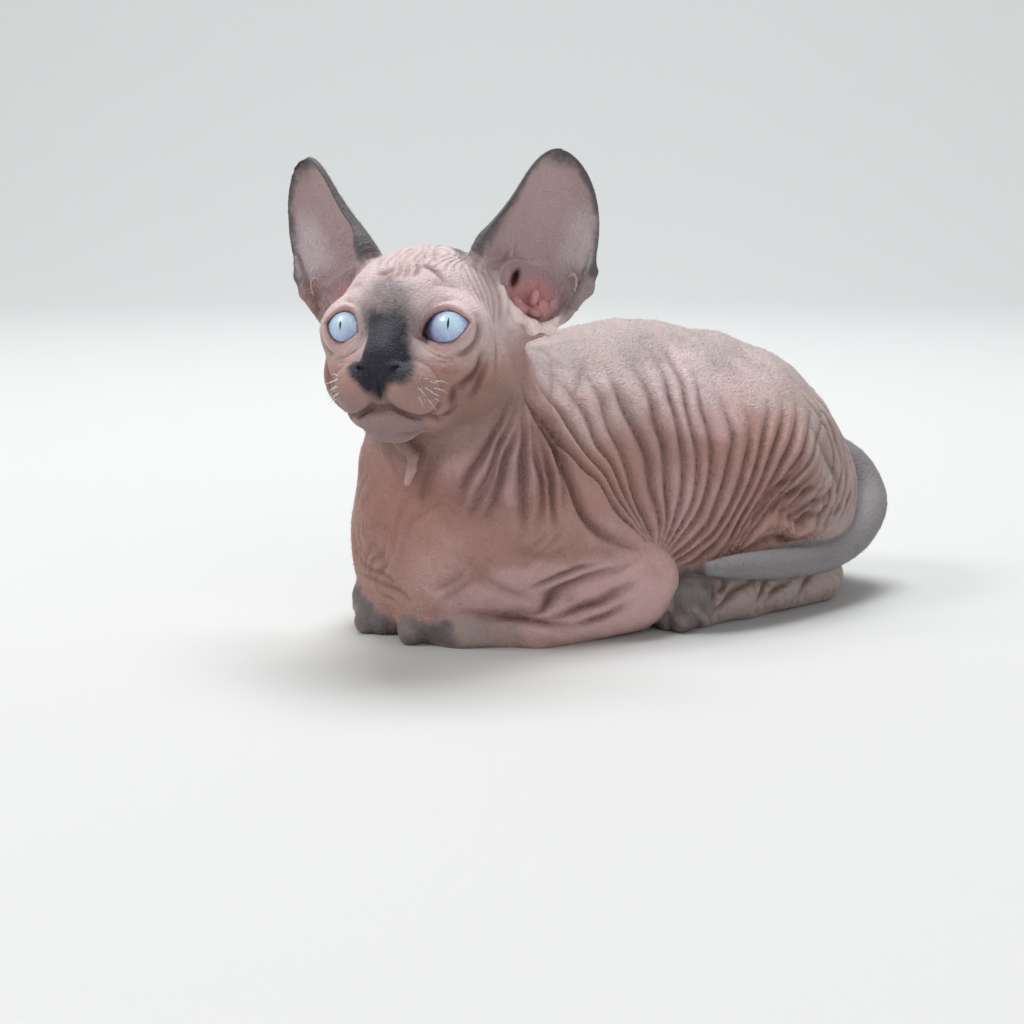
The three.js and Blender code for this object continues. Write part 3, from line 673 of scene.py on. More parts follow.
# Folds of the neck, shoulder, forearm, haunch and rump as seen from the side: depth, width, and the
# places in Y and Z that each runs through
SIDE_FOLDS = (
    (3, 1.5, ((-63, 77), (-70, 65), (-77, 54), (-80, 45))),
    (3, 1.4, ((-60, 74), (-67, 63), (-73, 52), (-78, 42))),
    (2.4, 1.3, ((-59, 70), (-64, 62), (-70, 52), (-74, 42))),
    (3.1, 1.4, ((-57, 75), (-59, 64), (-64, 51), (-66, 37))),
    (2.7, 1.3, ((-55, 70), (-57, 58), (-59, 50), (-62, 37))),
    (2.7, 1.3, ((-54, 68), (-54.5, 56), (-56, 47), (-56, 37))),
    (2.8, 1.4, ((-54, 74), (-50, 63), (-50, 53), (-52, 42))),
    (3.3, 1.7, ((-57, 79), (-51, 66), (-48, 54), (-46.5, 45), (-42, 38), (-30, 31), (-18, 26.5))),
    (0.6, 2, ((-59, 28), (-44, 30), (-26, 27))),
    (2.2, 1.2, ((-66, 9), (-56, 13), (-50, 17), (-40, 21), (-26, 24))),
    (2.1, 1.1, ((-57, 8), (-46, 11.5), (-36, 14), (-26, 18))),
    (1.5, 1, ((-48, 6), (-38, 8), (-28, 12))),
    (1.3, 1, ((-60, 18), (-50, 22.5), (-38, 25.5))),
    (1.5, 1.3, ((-78, 11), (-67, 9.5), (-55, 8.5), (-46, 5))),
    (1, 1.6, ((-84, 62), (-86, 52), (-86, 42))),
    (0.8, 1.5, ((-70, 34), (-62, 30), (-52, 29))),
    (0.8, 1.4, ((-80, 30), (-72, 22), (-64, 17), (-54, 15))),
    (2, 1.2, ((45, 52), (38, 46), (29, 41), (24, 36), (21, 32))),
    (2.1, 1.2, ((49, 48), (42, 42), (34, 39), (29, 35), (25, 33))),
    (2.1, 1.1, ((51, 43), (43, 39.5), (38, 36.5), (31, 34))),
    (2, 1.1, ((55, 38), (46, 36), (40, 34), (33, 31.5))),
    (1.6, 1, ((52, 32), (44, 32.5), (40, 30.5), (37, 32))),
    (-2.2, 1.8, ((17, 24.5), (25, 28.5), (33, 30.5), (38, 27), (45, 28), (53, 26))),
    (1.8, 1.1, ((13, 22), (24, 24.5), (31, 26), (36, 24.5), (42, 24.5), (52, 23.5))),
    (1, 1.3, ((50, 60), (56, 50), (60, 41), (57, 31))),
    (0.8, 1.3, ((60, 58), (66, 48), (66, 40), (60, 32))),
    (1.3, 1.3, ((70, 64), (79, 54), (82, 46), (79, 38), (72, 31))),
    (1.1, 1.2, ((77, 62), (86, 52), (88, 44), (84, 36))),
)
# Creases of the hind foot, also from the side
FOOT_FOLDS = (
    (2.4, 1.2, ((22, 14), (14, 11), (8, 7), (3, 4))),
    (2, 1.1, ((7, 17), (4, 12), (2, 8))),
    (1.9, 1.1, ((13, 16), (10, 13), (6, 12))),
    (1.6, 1.1, ((40, 12), (33, 9), (28, 4))),
    (1.5, 1, ((30, 14), (26, 10), (22, 5))),
    (1.3, 1, ((52, 13), (46, 9), (42, 4))),
)
# Short wrinkles of the breast over the right wrist
BREAST_FOLDS = (
    (0.7, 1.1, ((-5, -90, 31), (0, -89, 27), (2, -89, 23))),
    (0.9, 1.1, ((-20, -87, 24), (-12, -88, 21), (1, -89, 20), (6, -88, 18))),
    (1, 1.1, ((-22, -85, 19), (-5, -88, 17), (6, -88, 16), (11, -86, 13))),
    (0.6, 1.1, ((-11, -89, 32), (-1, -90, 36), (6, -89, 34), (6, -89, 29))),
)


def body_creases(p):
    """Depth and nearness of the folds of both sides and of the breast. Low down they fade towards
    the body's middle plane, and on the neck towards its own middle, which lies to the left."""
    off_middle = np.abs(p[:, 0] - np.interp(p[:, 2], (40, 58), (0, 5)))
    outer = ease(0, 8, off_middle - np.interp(p[:, 2], (38, 56), (13, 2))) * np.where(p[:, 0] > 0, 1, 0.75)
    moved = p[:, 1:] + np.stack([wander(p, 14, 31), wander(p, 14, 32)], 1) * 0.5
    on_foot = ease(1.6, 0.6, hindfeet(p))
    off_limbs = outer * (1 - on_foot) * ease(0.7, 1.8, tail(p))
    share = ease(19, 26, lengths(in_head(p)))
    sets = ((grooves(moved, SIDE_FOLDS), off_limbs * share), (grooves(moved, FOOT_FOLDS), outer * on_foot),
            (grooves(p, BREAST_FOLDS, hide), share))
    nearness = np.maximum.reduce([found[1] * show for found, show in sets])
    return sum(found[0] * show for found, show in sets), nearness


def lid_relief(eye, side):
    """Round each eye: a soft roll along the lids, then a crease that follows them at a distance,
    which fades over the upper lid's outer half. Depth and nearness."""
    gap = lid_gap(eye, side)
    show = 1 - 0.6 * ease(0.5, 4, eye[:, 0]) * ease(1, 3, eye[:, 1])
    reach = lengths(eye)
    show = show * ease(1, 3, eye[:, 2]) * ease(14, 12, reach)
    deep = show * ease(EYE_RADIUS + 3.4, EYE_RADIUS + 2.0, reach)
    off = np.abs(lid_ring(eye, side))
    below = ease(1, -2, eye[:, 1])
    crease = (0.8 + 0.3 * below) * np.exp(-(off / 0.8) ** 2)
    roll = 0.3 * np.exp(-((gap - 1.4) / 0.8) ** 2)
    return crease * deep - roll * deep, (0.45 + 0.45 * below) * np.clip(1 - off / 1.5, 0, 1) * deep


def face_creases(q):
    """Depth and nearness of all the creases of the head: the drawn ones, the valley round the pads,
    the lids' own, and fine rings at the inner foot of each ear."""
    depth, nearness = grooves(q, SINGLE_CREASES, face)
    off = np.maximum(np.abs(padless(q)), np.abs(pads(q)))
    mouth = ease(-17, -19.5, q[:, 2])
    depth += (0.5 + 0.5 * mouth) * np.exp(-(off / 0.7) ** 2)
    shown = np.maximum(mouth, ease(-34, -24, q[:, 1] - 0.6 * np.abs(q[:, 0])))
    nearness = np.maximum(nearness, np.clip(1 - off / 1.4, 0, 1) * shown)
    for side in (LEFT, RIGHT):
        e = on_side(q, side, EAR_PLACE, EAR_TURN)
        foot = ease(7, 3, away(e, (-17.5, -1, 5.5)))
        rings = 0.45 * (0.6 - pleats((e[:, 2] + 0.35 * e[:, 0]) / 1.9, 0.9)) * foot
        pairs = (grooves(mirrored(q, side), PAIRED_CREASES, face),
                 lid_relief(on_side(q, side, EYE_PLACE, EYE_TURN), side), (rings, rings))
        depth += sum(pair[0] for pair in pairs)
        nearness = np.maximum.reduce([nearness] + [pair[1] for pair in pairs])
    return depth, nearness


FINE_STEP = 0.52


def hide_lattice():
    """Grid lines in the three directions, closer together about the head."""
    x = np.arange(-47, 54, 0.55)
    y = np.concatenate([np.arange(-125, -40, FINE_STEP), np.arange(-40, 109, 0.68)])
    z = np.concatenate([np.arange(-1.2, 56, 0.65), np.arange(56, 151, FINE_STEP)])
    return np.float32(x), np.float32(y), np.float32(z)


def sampled(lines, block=4, reach=3.4, batch=150000):
    """The hide's distance at the grid's points, worked out only in blocks whose middle lies within
    reach of the surface. Elsewhere a large value keeps the sign of the block's middle."""
    shape = tuple(len(line) for line in lines)
    centres = [line[np.minimum(np.arange(block // 2, len(line) + block // 2, block), len(line) - 1)]
               for line in lines]
    grid = np.stack(np.meshgrid(*centres, indexing='ij'), -1).reshape(-1, 3)
    coarse = np.concatenate([hide(part) for part in np.array_split(grid, 4)])
    coarse = coarse.reshape([len(line) for line in centres])
    for axis in range(3):
        coarse = coarse.repeat(block, axis)
    coarse = coarse[tuple(slice(n) for n in shape)]
    field = np.where(coarse < 0, -9, 9).astype(np.float32)
    spots = np.nonzero(np.abs(coarse) < reach)
    places = np.stack([line[i] for line, i in zip(lines, spots)], 1)
    parts = np.array_split(np.arange(len(places)), len(places) // batch + 1)
    field[spots] = np.concatenate([hide(places[part]) for part in parts])
    return field


def surface_net(lines, field):
    """Points and four-sided faces of the zero surface: one point in each crossed cell, at the mean
    of the crossings of its edges, and one face round each crossed edge of the grid."""
    inside = field < 0
    corners = [(i, j, k) for i in (0, 1) for j in (0, 1) for k in (0, 1)]
    cells = tuple(n - 1 for n in field.shape)
    held = sum(np.uint8(inside[i:i + cells[0], j:j + cells[1], k:k + cells[2]]) for i, j, k in corners)
    spots = np.stack(np.nonzero((held > 0) & (held < 8)), 1)
    value = {c: field[tuple((spots + c).T)] for c in corners}
    place = {c: np.stack([line[spots[:, a] + c[a]] for a, line in enumerate(lines)], 1) for c in corners}
    total = np.zeros((len(spots), 3), np.float32)
    crossings = np.zeros(len(spots), np.float32)
    for c in corners:
        for axis in range(3):
            if c[axis]:
                continue
            d = tuple(int(a == axis or c[a]) for a in range(3))
            cross = (value[c] < 0) != (value[d] < 0)
            share = (value[c] / np.where(cross, value[c] - value[d], 1))[:, None]
            total += np.where(cross[:, None], place[c] + share * (place[d] - place[c]), 0)
            crossings += cross
    number = np.full(cells, -1, np.int32)
    number[tuple(spots.T)] = np.arange(len(spots))
    faces = []
    for axis in range(3):
        ahead = [slice(1, n) for n in cells]
        ahead[axis] = slice(0, cells[axis])
        start = inside[tuple(ahead)]
        ahead[axis] = slice(1, cells[axis] + 1)
        cross = start != inside[tuple(ahead)]
        found = np.stack(np.nonzero(cross), 1)
        leaving = start[tuple(found.T)]
        found += np.array([int(a != axis) for a in range(3)])
        u, v = (np.eye(3, dtype=int)[(axis + k) % 3] for k in (1, 2))
        ring = np.stack([number[tuple((found - step).T)] for step in (0 * u, u, u + v, v)], 1)
        faces.append(np.where(leaving[:, None], ring, ring[:, ::-1]))
    return total / crossings[:, None], np.concatenate(faces)


def drawn_on(p, shape, rounds=2, step=0.12):
    """Points moved onto the zero surface along the gradient, and the unit normals there."""
    steps = np.float32(np.eye(3) * step)
    for _ in range(rounds):
        here = shape(p)
        gradient = np.stack([shape(p + s) - here for s in steps], 1) / step
        size = (gradient * gradient).sum(1)
        p = p - gradient * np.clip(here / np.maximum(size, 0.2), -0.6, 0.6)[:, None]
    return np.float32(p), gradient / np.sqrt(np.maximum(size, 1e-6))[:, None]


def folded(p, normal):
    """The smooth hide's points raised and sunk along the outward normal by the folds, and on the body
    also by the unevenness of the flesh."""
    q = in_head(p)
    height = -body_creases(p)[0] - face_creases(q)[0]
    for _, count, show, rise, sharpness in fold_layers(p):
        height += rise * (pleats(count, sharpness) - 0.64) * show
    flesh = ease(30, 45, lengths(q)) * ease(104, 97, p[:, 2]) * ease(0.7, 1.8, tail(p))
    height += (0.55 * wander(p, 24, 81) + 0.2 * wander(p, 9, 82)) * flesh
    height *= ease(0.2, 2.5, p[:, 2])
    return p + normal * height[:, None]


def mesh_object(name, points, *sets, scale=MM):
    """A smooth-shaded object at the origin from points, in millimetres unless scaled otherwise, and
    sets of faces, each set with faces of one length."""
    corners = np.concatenate([np.asarray(faces, np.int32).ravel() for faces in sets])
    counts = np.concatenate([np.full(len(faces), len(faces[0])) for faces in sets])
    mesh = bpy.data.meshes.new(name)
    mesh.vertices.add(len(points))
    mesh.vertices.foreach_set('co', np.ascontiguousarray(points * scale, np.float32).ravel())
    mesh.loops.add(len(corners))
    mesh.loops.foreach_set('vertex_index', corners)
    mesh.polygons.add(len(counts))
    mesh.polygons.foreach_set('loop_start', np.int32(np.cumsum(counts) - counts))
    mesh.polygons.foreach_set('use_smooth', np.ones(len(counts), bool))
    mesh.update(calc_edges=True)
    mesh.validate()
    made = bpy.data.objects.new(name, mesh)
    bpy.context.scene.collection.objects.link(made)
    return made


def head_marks(q, on_head, drift):
    """The charcoal mask of the nose, the smoke about it, and the browner lower face and chin."""
    y, z = q[:, 1], q[:, 2]
    mask = join(5, ball(q, (0.8, -37.5, -9), (9.6, 6.5, 6.8)),
                bone(q, (0, -33, -4), (-0.8, -28.5, 5), 6.8, 5.2),
                bone(q, (0, -38, -13), (0, -36, -18), 3, 1))
    nose, brow = ball(q, (1.5, -34.5, -10), (12, 9, 10)), ball(q, (-1, -28, 6), (7, 6, 10))
    chin = ball(q, (0, -27, -24.5), (9, 7, 6))
    smoke = on_head * np.maximum(ease(7, -5, nose + 0.5 * drift), ease(9, -4, brow + 0.6 * drift))
    below = np.maximum(0.75 * ease(5, -0.5, chin + 0.4 * drift), 0.6 * ease(2, -0.5, pads(q) + 0.2 * drift))
    lower = 0.75 * ease(-4, -16, z + 0.6 * drift) * ease(-34, -24, y)
    return {'mask': ease(3.9, -2.9, mask + 0.3 * drift) * ease(13, 1, z + 0.5 * drift),
            'smoke': np.maximum(smoke, below * ease(-20, -26, y)),
            'brown': on_head * np.maximum(lower, ease(5, -0.5, chin)),
            'chin': 0.6 * on_head * ease(4, -2, chin + 0.3 * drift)}


def ear_marks(e, drift):
    """The pink inside with its paler half and red depth, the dark back and rim, the whitish lip, and
    painted shade in the slit.
    """
    h = e[:, 2]
    inner, outer = ear_rims(h)
    half = np.maximum((outer - inner) / 2, 1)
    across = (e[:, 0] - (inner + outer) / 2) / half
    blade = ease(1, 9, h + 0.6 * drift) * ease(1.35, 1.1, np.abs(across)) * ease(22, 16, np.abs(e[:, 1] - 6))
    middle = 1 + ear_depth(h) * (1 - np.minimum(np.abs(across), 1.25) ** 2.2)
    behind = ease(-0.3, 0.5, e[:, 1] - middle)
    edge = (1 - np.abs(across)) * half
    wide = 3.8 + 4.5 * ease(26, 12, h) * (across < 0)
    rim = np.maximum(ease(1, -0.1, (edge + 0.3 * drift) / wide), ease(EAR_HEIGHT - 8, EAR_HEIGHT + 1, h))
    nape = bone(e, (18.5, 7.5, -2), (14, 0, -17), 6.5, 6)
    outer_foot = np.maximum(ease(1.2, 0.1, ear_lobe(e)) * 0.45, ease(3, -2, nape + 0.5 * drift) * 0.8)
    bowl = ease(2.5, -1, ball(e, (2, 2, 3.5), (11, 11, 13)))
    return {'ear_inside': np.maximum(blade * (1 - behind), bowl),
            'ear_pale': ease(3, 11, e[:, 0]) * ease(3, 12, h) * ease(34, 20, h) * blade * (1 - behind),
            'ear_rim': np.maximum(blade * rim, outer_foot),
            'ear_back': blade * behind,
            'ear_deep': ease(2.5, -3, ball(e, (3, 7, -3.5), (8, 7, 7))),
            # Painted shade in the slit deep in the bowl
            'ear_slit': ease(1, -1, ball(e, (-2.6, 10.8, 1.2), (1.5, 3.4, 3))),
            'ear_lip': ease(2.4, -0.4, ear_lip(e))}


def lid_marks(eye, side):
    """The dark edge of the lids, and the pink skin round it."""
    gap = lid_gap(eye, side)
    front = ease(1, 4, eye[:, 2]) * ease(13, 11, lengths(eye))
    return {'lids': ease(0.62, 0.05, gap) * front, 'lid_pink': ease(2.6, 0.6, gap) * front}


def limb_marks(p, drift):
    """The slate of the tail, hind feet and forepaws, and the darker toes."""
    slate = ease(2, 0.4, hindfeet(p, 6) + 0.1 * drift)
    for line, radii in FOREPAWS:
        paw = join(4, limb(p, 4, line, radii), toes(p, *line[1:]))
        slate = np.maximum(slate, ease(2.5, -0.5, paw + 0.3 * drift) * 0.9)
    hind = np.minimum(*[toes(mirrored(p, s), *HINDFOOT[2:], HIND_KNUCKLE) for s in (LEFT, RIGHT)])
    fore = [ease(9, 2, toes(p, *line[1:]) + drift) for line, _ in FOREPAWS]
    return {'tail': ease(1.5, 0.6, tail(p)) * ease(5, 14, away(p, TAIL_LINE[0]) + drift),
            'slate': slate,
            'toes': slate * np.maximum.reduce(fore + [0.9 * ease(8, 0, hind + 1.2 * drift)])}


def trunk_marks(p, drift, off_head):
    """Pink on the flank, forearm and neck, grey on back and rump, painted light paling the top, painted
    warm shade at the throat, pink along the strand under the chin, and painted shade beside the strand."""
    x, y, z = p.T
    outer = ease(14, 26, np.abs(x))
    patch = ease(1.25, 0.45, oval(y, z, (9, 70), (19, 15)) + 0.05 * drift) * outer
    low = ease(1.3, 0.5, oval(y, z, (-2, 36), (36, 24)) + 0.05 * drift) * outer
    forearm = ease(1.3, 0.5, oval(y, z, (-48, 13), (34, 15)) + 0.05 * drift) * ease(8, 16, np.abs(x))
    neck = ease(8, -4, ball(p, (22, -66, 60), (18, 16, 20)) + drift)
    strand = chin_strand(p)
    grey = np.maximum(ease(66, 90, z + drift * 2) * 0.8, ease(26, 62, y + drift * 2) * 0.75)
    grey *= ease(-70, -40, y)
    # Painted warm shade under the throat and low on the front, where the skin faces down
    throat = np.sqrt(((p - np.float32((5, -83, 52))) ** 2 * np.float32((1, 1, 0.6))).sum(1))
    russet = np.maximum(ease(33, 14, throat + drift), 0.25 * ease(34, 10, z) * ease(-8, -30, y))
    return {'pink': np.maximum.reduce([patch, 0.6 * low, forearm, neck, 0.6 * ease(1.2, 0.2, strand)]),
            'grey': np.clip(grey * (1 - 0.9 * patch), 0, 1) * off_head,
            'pale': ease(50, 84, z + drift) * ease(-75, -30, y) * off_head,
            'russet': russet * off_head * ease(0.2, 1.2, strand),
            # 'strand' is painted shade in a band on both sides of the chin strand
            'strand': 0.6 * ease(0.6, 1.2, strand) * ease(2.6, 1.6, strand)}


# How dark the painted shade in the valleys of each family of folds is, where not 0.9
VALLEY_SHADE = {'crumple': 0.45, 'chest': 0.35, 'crown': 0.4, 'temple': 0.4, 'breast': 0.5,
                'nape': 0.4, 'paw': 0.3, 'foot': 0.35}


def markings(p):
    """How strongly each colour of the hide shows at points in millimetres, each from 0 to 1."""
    q = in_head(p)
    on_head = ease(40, 30, lengths(q))
    drift = 2.2 * wander(p, 12, 21) + wander(p, 5, 22)
    marks = {**head_marks(q, on_head, drift), **limb_marks(p, drift), **trunk_marks(p, drift, 1 - on_head)}
    # Painted light: the top of the head is paled as if lit from above
    marks['pale'] = np.maximum(marks['pale'], ease(-9, 10, q[:, 2] - 0.25 * q[:, 1]) * on_head)
    for side in (LEFT, RIGHT):
        found = {**ear_marks(on_side(q, side, EAR_PLACE, EAR_TURN), drift),
                 **lid_marks(on_side(q, side, EYE_PLACE, EYE_TURN), side)}
        for name, values in found.items():
            marks[name] = np.maximum(marks.get(name, 0), values)
    # Painted shade in the creases, in the band beside the chin strand and in the valleys of each family of
    # folds; the chin is darkened with the same colour
    crease = np.maximum.reduce([body_creases(p)[1], face_creases(q)[1],
                                marks.pop('strand'), marks.pop('chin')])
    valley = 0.9 * crease ** 2
    for name, count, show, _, _ in fold_layers(p):
        depth = VALLEY_SHADE.get(name, 0.9) * (1 - np.abs(np.sin(np.pi * count)) ** 0.5)
        valley = np.maximum(valley, depth * show)
    marks['valley'] = np.clip(1.1 * valley, 0, 1)
    return marks


class Value:
    """A shader node's output to reckon with: + - * give Math nodes, and node() adds any other."""

    def __init__(self, tree, socket=None):
        self.tree = tree
        self.socket = socket

    def node(self, kind, settings=(), inputs=(), out=0):
        """Any node by its type, its settings, and its sockets' values or links."""
        made = self.tree.nodes.new('ShaderNode' + kind)
        for name, setting in dict(settings).items():
            if name == 'stops':
                ramp = made.color_ramp
                while len(ramp.elements) < len(setting):
                    ramp.elements.new(0.5)
                for element, (place, colour) in zip(ramp.elements, setting):
                    element.position = place
                    element.color = (*colour, 1) if len(colour) == 3 else colour
            else:
                setattr(made, name, setting)
        for name, given in dict(inputs).items():
            if isinstance(given, Value):
                self.tree.links.new(given.socket, made.inputs[name])
            else:
                made.inputs[name].default_value = given
        return Value(self.tree, made.outputs[out] if made.outputs else None)

    def maths(self, operation, *values):
        """A Math node of the named operation on values or links."""
        return self.node('Math', {'operation': operation}, enumerate(values))

    def __add__(self, other):
        return self.maths('ADD', self, other)

    def __mul__(self, other):
        return self.maths('MULTIPLY', self, other)

    def __sub__(self, other):
        return self.maths('SUBTRACT', self, other)

    def __rsub__(self, other):
        return self.maths('SUBTRACT', other, self)

    __radd__ = __add__
    __rmul__ = __mul__

    def attribute(self, name):
        """A mark that the mesh carries."""
        return self.node('Attribute', {'attribute_name': name}, out='Fac')

    def between(self, low, high):
        """0 below low, 1 above high."""
        return self.node('MapRange', {'interpolation_type': 'SMOOTHSTEP'}, {0: self, 1: low, 2: high})

    def tint(self, under, over):
        """The colour under, covered by the colour over as strongly as this value says."""
        ends = [(*c, 1) if isinstance(c, tuple) else c for c in (under, over)]
        return self.node('Mix', {'data_type': 'RGBA'}, {0: self, 6: ends[0], 7: ends[1]}, out=2)

    def noise(self, place, scale, detail=3.0, roughness=0.55):
        """Noise of so many lumps to the metre."""
        return self.node('TexNoise', inputs={'Vector': place, 'Scale': scale, 'Detail': detail,
                                             'Roughness': roughness})

    def surface(self, sockets):
        """Ends the material in a Principled surface with these sockets."""
        shader = self.node('BsdfPrincipled', inputs=sockets)
        self.node('OutputMaterial', inputs={'Surface': shader})


def new_material(name):
    """An empty material, and its tree wrapped."""
    material = bpy.data.materials.new(name)
    material.use_nodes = True
    material.node_tree.nodes.clear()
    return material, Value(material.node_tree)


# The hide's ground colour and, in the order they cover it, each mark's name, its weight, the weights
# of the mottling and of the wide patches, where the cover starts and where it is full, and its colour
PINK = (0.40, 0.225, 0.195)
TOE_GREY = (0.13, 0.112, 0.115)
EAR_GREY = (0.105, 0.095, 0.10)
MOTTLED_MARKS = (
    ('pink', 1, 0.4, 2, 0.1, 0.9, (0.56, 0.36, 0.355)),
    ('brown', 1, 0.3, 0, 0, 1, (0.24, 0.14, 0.115)),
    # Painted warm shade under the throat and low on the front
    ('russet', 0.8, 0.4, -1, 0.05, 1.1, (0.33, 0.155, 0.125)),
    # Painted light that pales the top of the body and head
    ('pale', 1, 0.5, 0, 0, 1.1, (0.60, 0.48, 0.475)),
    ('grey', 1, 0.5, 0, 0, 1, (0.38, 0.31, 0.295)),
    ('smoke', 0.85, 0.3, 0, 0.1, 1.05, (0.21, 0.17, 0.18)),
    ('slate', 1, 0.25, 0, 0.2, 0.9, (0.36, 0.285, 0.27)),
    ('toes', 1, 0.25, 0, 0.1, 1.1, TOE_GREY),
    ('tail', 1, 0.1, 0, 0.2, 0.9, (0.22, 0.205, 0.215)),
    ('ear_inside', 1, 0, 0, 0, 1, (0.45, 0.325, 0.335)),
    ('ear_pale', 0.7, 0.15, 0, 0, 1, (0.62, 0.53, 0.56)),
    ('ear_back', 0.9, 0.2, 0, 0, 1, EAR_GREY),
)
# The marks that lie over those unmottled: name, weight and colour
PLAIN_MARKS = (
    ('ear_deep', 1, (0.66, 0.33, 0.34)),
    # Painted shade in the ear's slit
    ('ear_slit', 1, (0.09, 0.022, 0.026)),
    ('ear_lip', 1, (0.84, 0.69, 0.67)),
    ('lid_pink', 0.8, (0.38, 0.20, 0.20)),
    # Painted shade in the creases and fold valleys
    ('valley', 1, (0.15, 0.07, 0.06)),
    ('lids', 1, (0.045, 0.022, 0.032)),
)
CHARCOAL = (0.018, 0.019, 0.028)


def hide_colour(start, place):
    """The hide's colour from its marks, from the pink ground to the charcoal of the nose, each
    mottled by noise or plain. Also the noise."""
    mark = start.attribute
    mottle = (start.noise(place, 70, 3) - 0.5) * 1.5 + (start.noise(place, 500, 3, 0.7) - 0.5) * 1.3
    patches = start.noise(place, 30, 2) - 0.5
    colour = PINK
    for name, weight, speckle, blotch, low, high, over in MOTTLED_MARKS:
        cover = mark(name) * weight
        if speckle:
            cover = (cover + mottle * speckle + patches * blotch).between(low, high)
        colour = cover.tint(colour, over)
    colour = (mottle.between(0.0, 0.7) * mark('tail') * 0.4).tint(colour, TOE_GREY)
    rim = mark('ear_rim')
    rim = rim * 1.1 + (mottle - 0.2) * rim.between(0.0, 0.4) * 0.5
    colour = rim.between(0.0, 1.0).tint(colour, EAR_GREY)
    for name, weight, over in PLAIN_MARKS:
        colour = (mark(name) * weight).tint(colour, over)
    mask = mark('mask')
    mask = mask + mottle * mask.between(0.0, 0.3) * 0.4
    return mask.between(0.08, 0.85).tint(colour, CHARCOAL), mottle


skin_material, start = new_material('hide')
place = start.node('TexCoord', out='Object')
colour, mottle = hide_colour(start, place)
relief = start.noise(place, 260, 3, 0.6) * 0.9 + start.noise(place, 1300, 2, 0.6) * 0.8
relief = relief - start.attribute('valley') * 1.6
start.surface({
    'Base Color': colour, 'Roughness': mottle * 0.1 + 0.6,
    'Normal': start.node('Bump', inputs={'Height': relief, 'Strength': 0.7, 'Distance': 0.001}),
    'Subsurface Weight': 0.1, 'Subsurface Radius': (1.0, 0.35, 0.2), 'Subsurface Scale': 0.0016,
    'Specular IOR Level': 0.3, 'Sheen Weight': 0.06, 'Sheen Roughness': 0.4})

# The net's four-sided faces are thinned to this share of their number, most where the skin is flat
SKIN_FACES = 97500
lines = hide_lattice()
points, faces = surface_net(lines, sampled(lines))
points = folded(*drawn_on(points, hide))
skin = mesh_object('hide', points, faces)
thin = skin.modifiers.new('thin', 'DECIMATE')
thin.ratio = min(1, SKIN_FACES / len(faces))
bpy.context.view_layer.update()
shape = bpy.data.meshes.new_from_object(skin.evaluated_get(bpy.context.evaluated_depsgraph_get()))
skin.modifiers.clear()
skin.data = shape
shape.name = 'hide'
places = np.empty(len(shape.vertices) * 3, np.float32)
shape.vertices.foreach_get('co', places)
rooted = drawn_on(places.reshape(-1, 3) / MM, hide, rounds=4)[0]
for name, values in markings(rooted).items():
    shape.attributes.new(name, 'FLOAT', 'POINT').data.foreach_set('value', np.float32(values))
shape.polygons.foreach_set('use_smooth', np.ones(len(shape.polygons), bool))
skin.data.materials.append(skin_material)
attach(skin, 'root')
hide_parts(*[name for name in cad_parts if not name.startswith('eye_')])


# The eyes. Each is a firm wet ball behind the lids: a clear cornea bulges over a pale blue iris with
# a dark edge and an upright slit pupil. Both look the same way, a little up.
EYE_SIZE = EYE_RADIUS - 0.12
IRIS_RADIUS = 7.4
CORNEA_RISE = 0.9
GAZE_TURN = frame_along((0.1, -0.985, 0.09), (1, 0, 0))
IRIS_RINGS = ((0.0, (0.44, 0.64, 0.75)), (0.45, (0.40, 0.56, 0.74)), (0.68, (0.30, 0.38, 0.64)),
              (0.86, (0.17, 0.15, 0.38)), (1.0, (0.04, 0.03, 0.07)))


def closed_net(rows, steps):
    """Four-sided faces between rows of points round an axis, numbered from 0."""
    cell = np.arange((rows - 1) * steps).reshape(-1, steps)
    right = np.roll(cell, -1, 1)
    return np.stack([cell, cell + steps, right + steps, right], -1).reshape(-1, 4)


def eyeball(rings=96, steps=128):
    """A sphere about the line of sight whose front swells into the cornea: the radius grows by the
    rise times (1 - (sine / 0.8) squared) to the power 1.4, as far as the angle's sine is under 0.8."""
    turn = np.linspace(0, math.pi, rings + 1)[1:-1]
    around = np.arange(steps) * 2 * math.pi / steps
    bell = np.where(turn < 1.1, np.clip(1 - (np.sin(np.minimum(turn, 1.5)) / 0.80) ** 2, 0, 1) ** 1.4, 0)
    reach = EYE_SIZE + CORNEA_RISE * bell
    out, ahead = reach * np.sin(turn), reach * np.cos(turn)
    rim = np.stack([np.outer(out, np.cos(around)), np.outer(out, np.sin(around)),
                    np.outer(ahead, np.ones(steps))], -1).reshape(-1, 3)
    local = np.concatenate([[[0, 0, EYE_SIZE + CORNEA_RISE]], rim, [[0, 0, -EYE_SIZE]]])
    quads = closed_net(rings - 1, steps) + 1
    first, last = quads[:steps], quads[-steps:]
    top = np.stack([np.zeros(steps, int), first[:, 0], first[:, 3]], 1)
    bottom = np.stack([np.full(steps, len(local) - 1), last[:, 2], last[:, 1]], 1)
    return local, quads, np.concatenate([top, bottom])


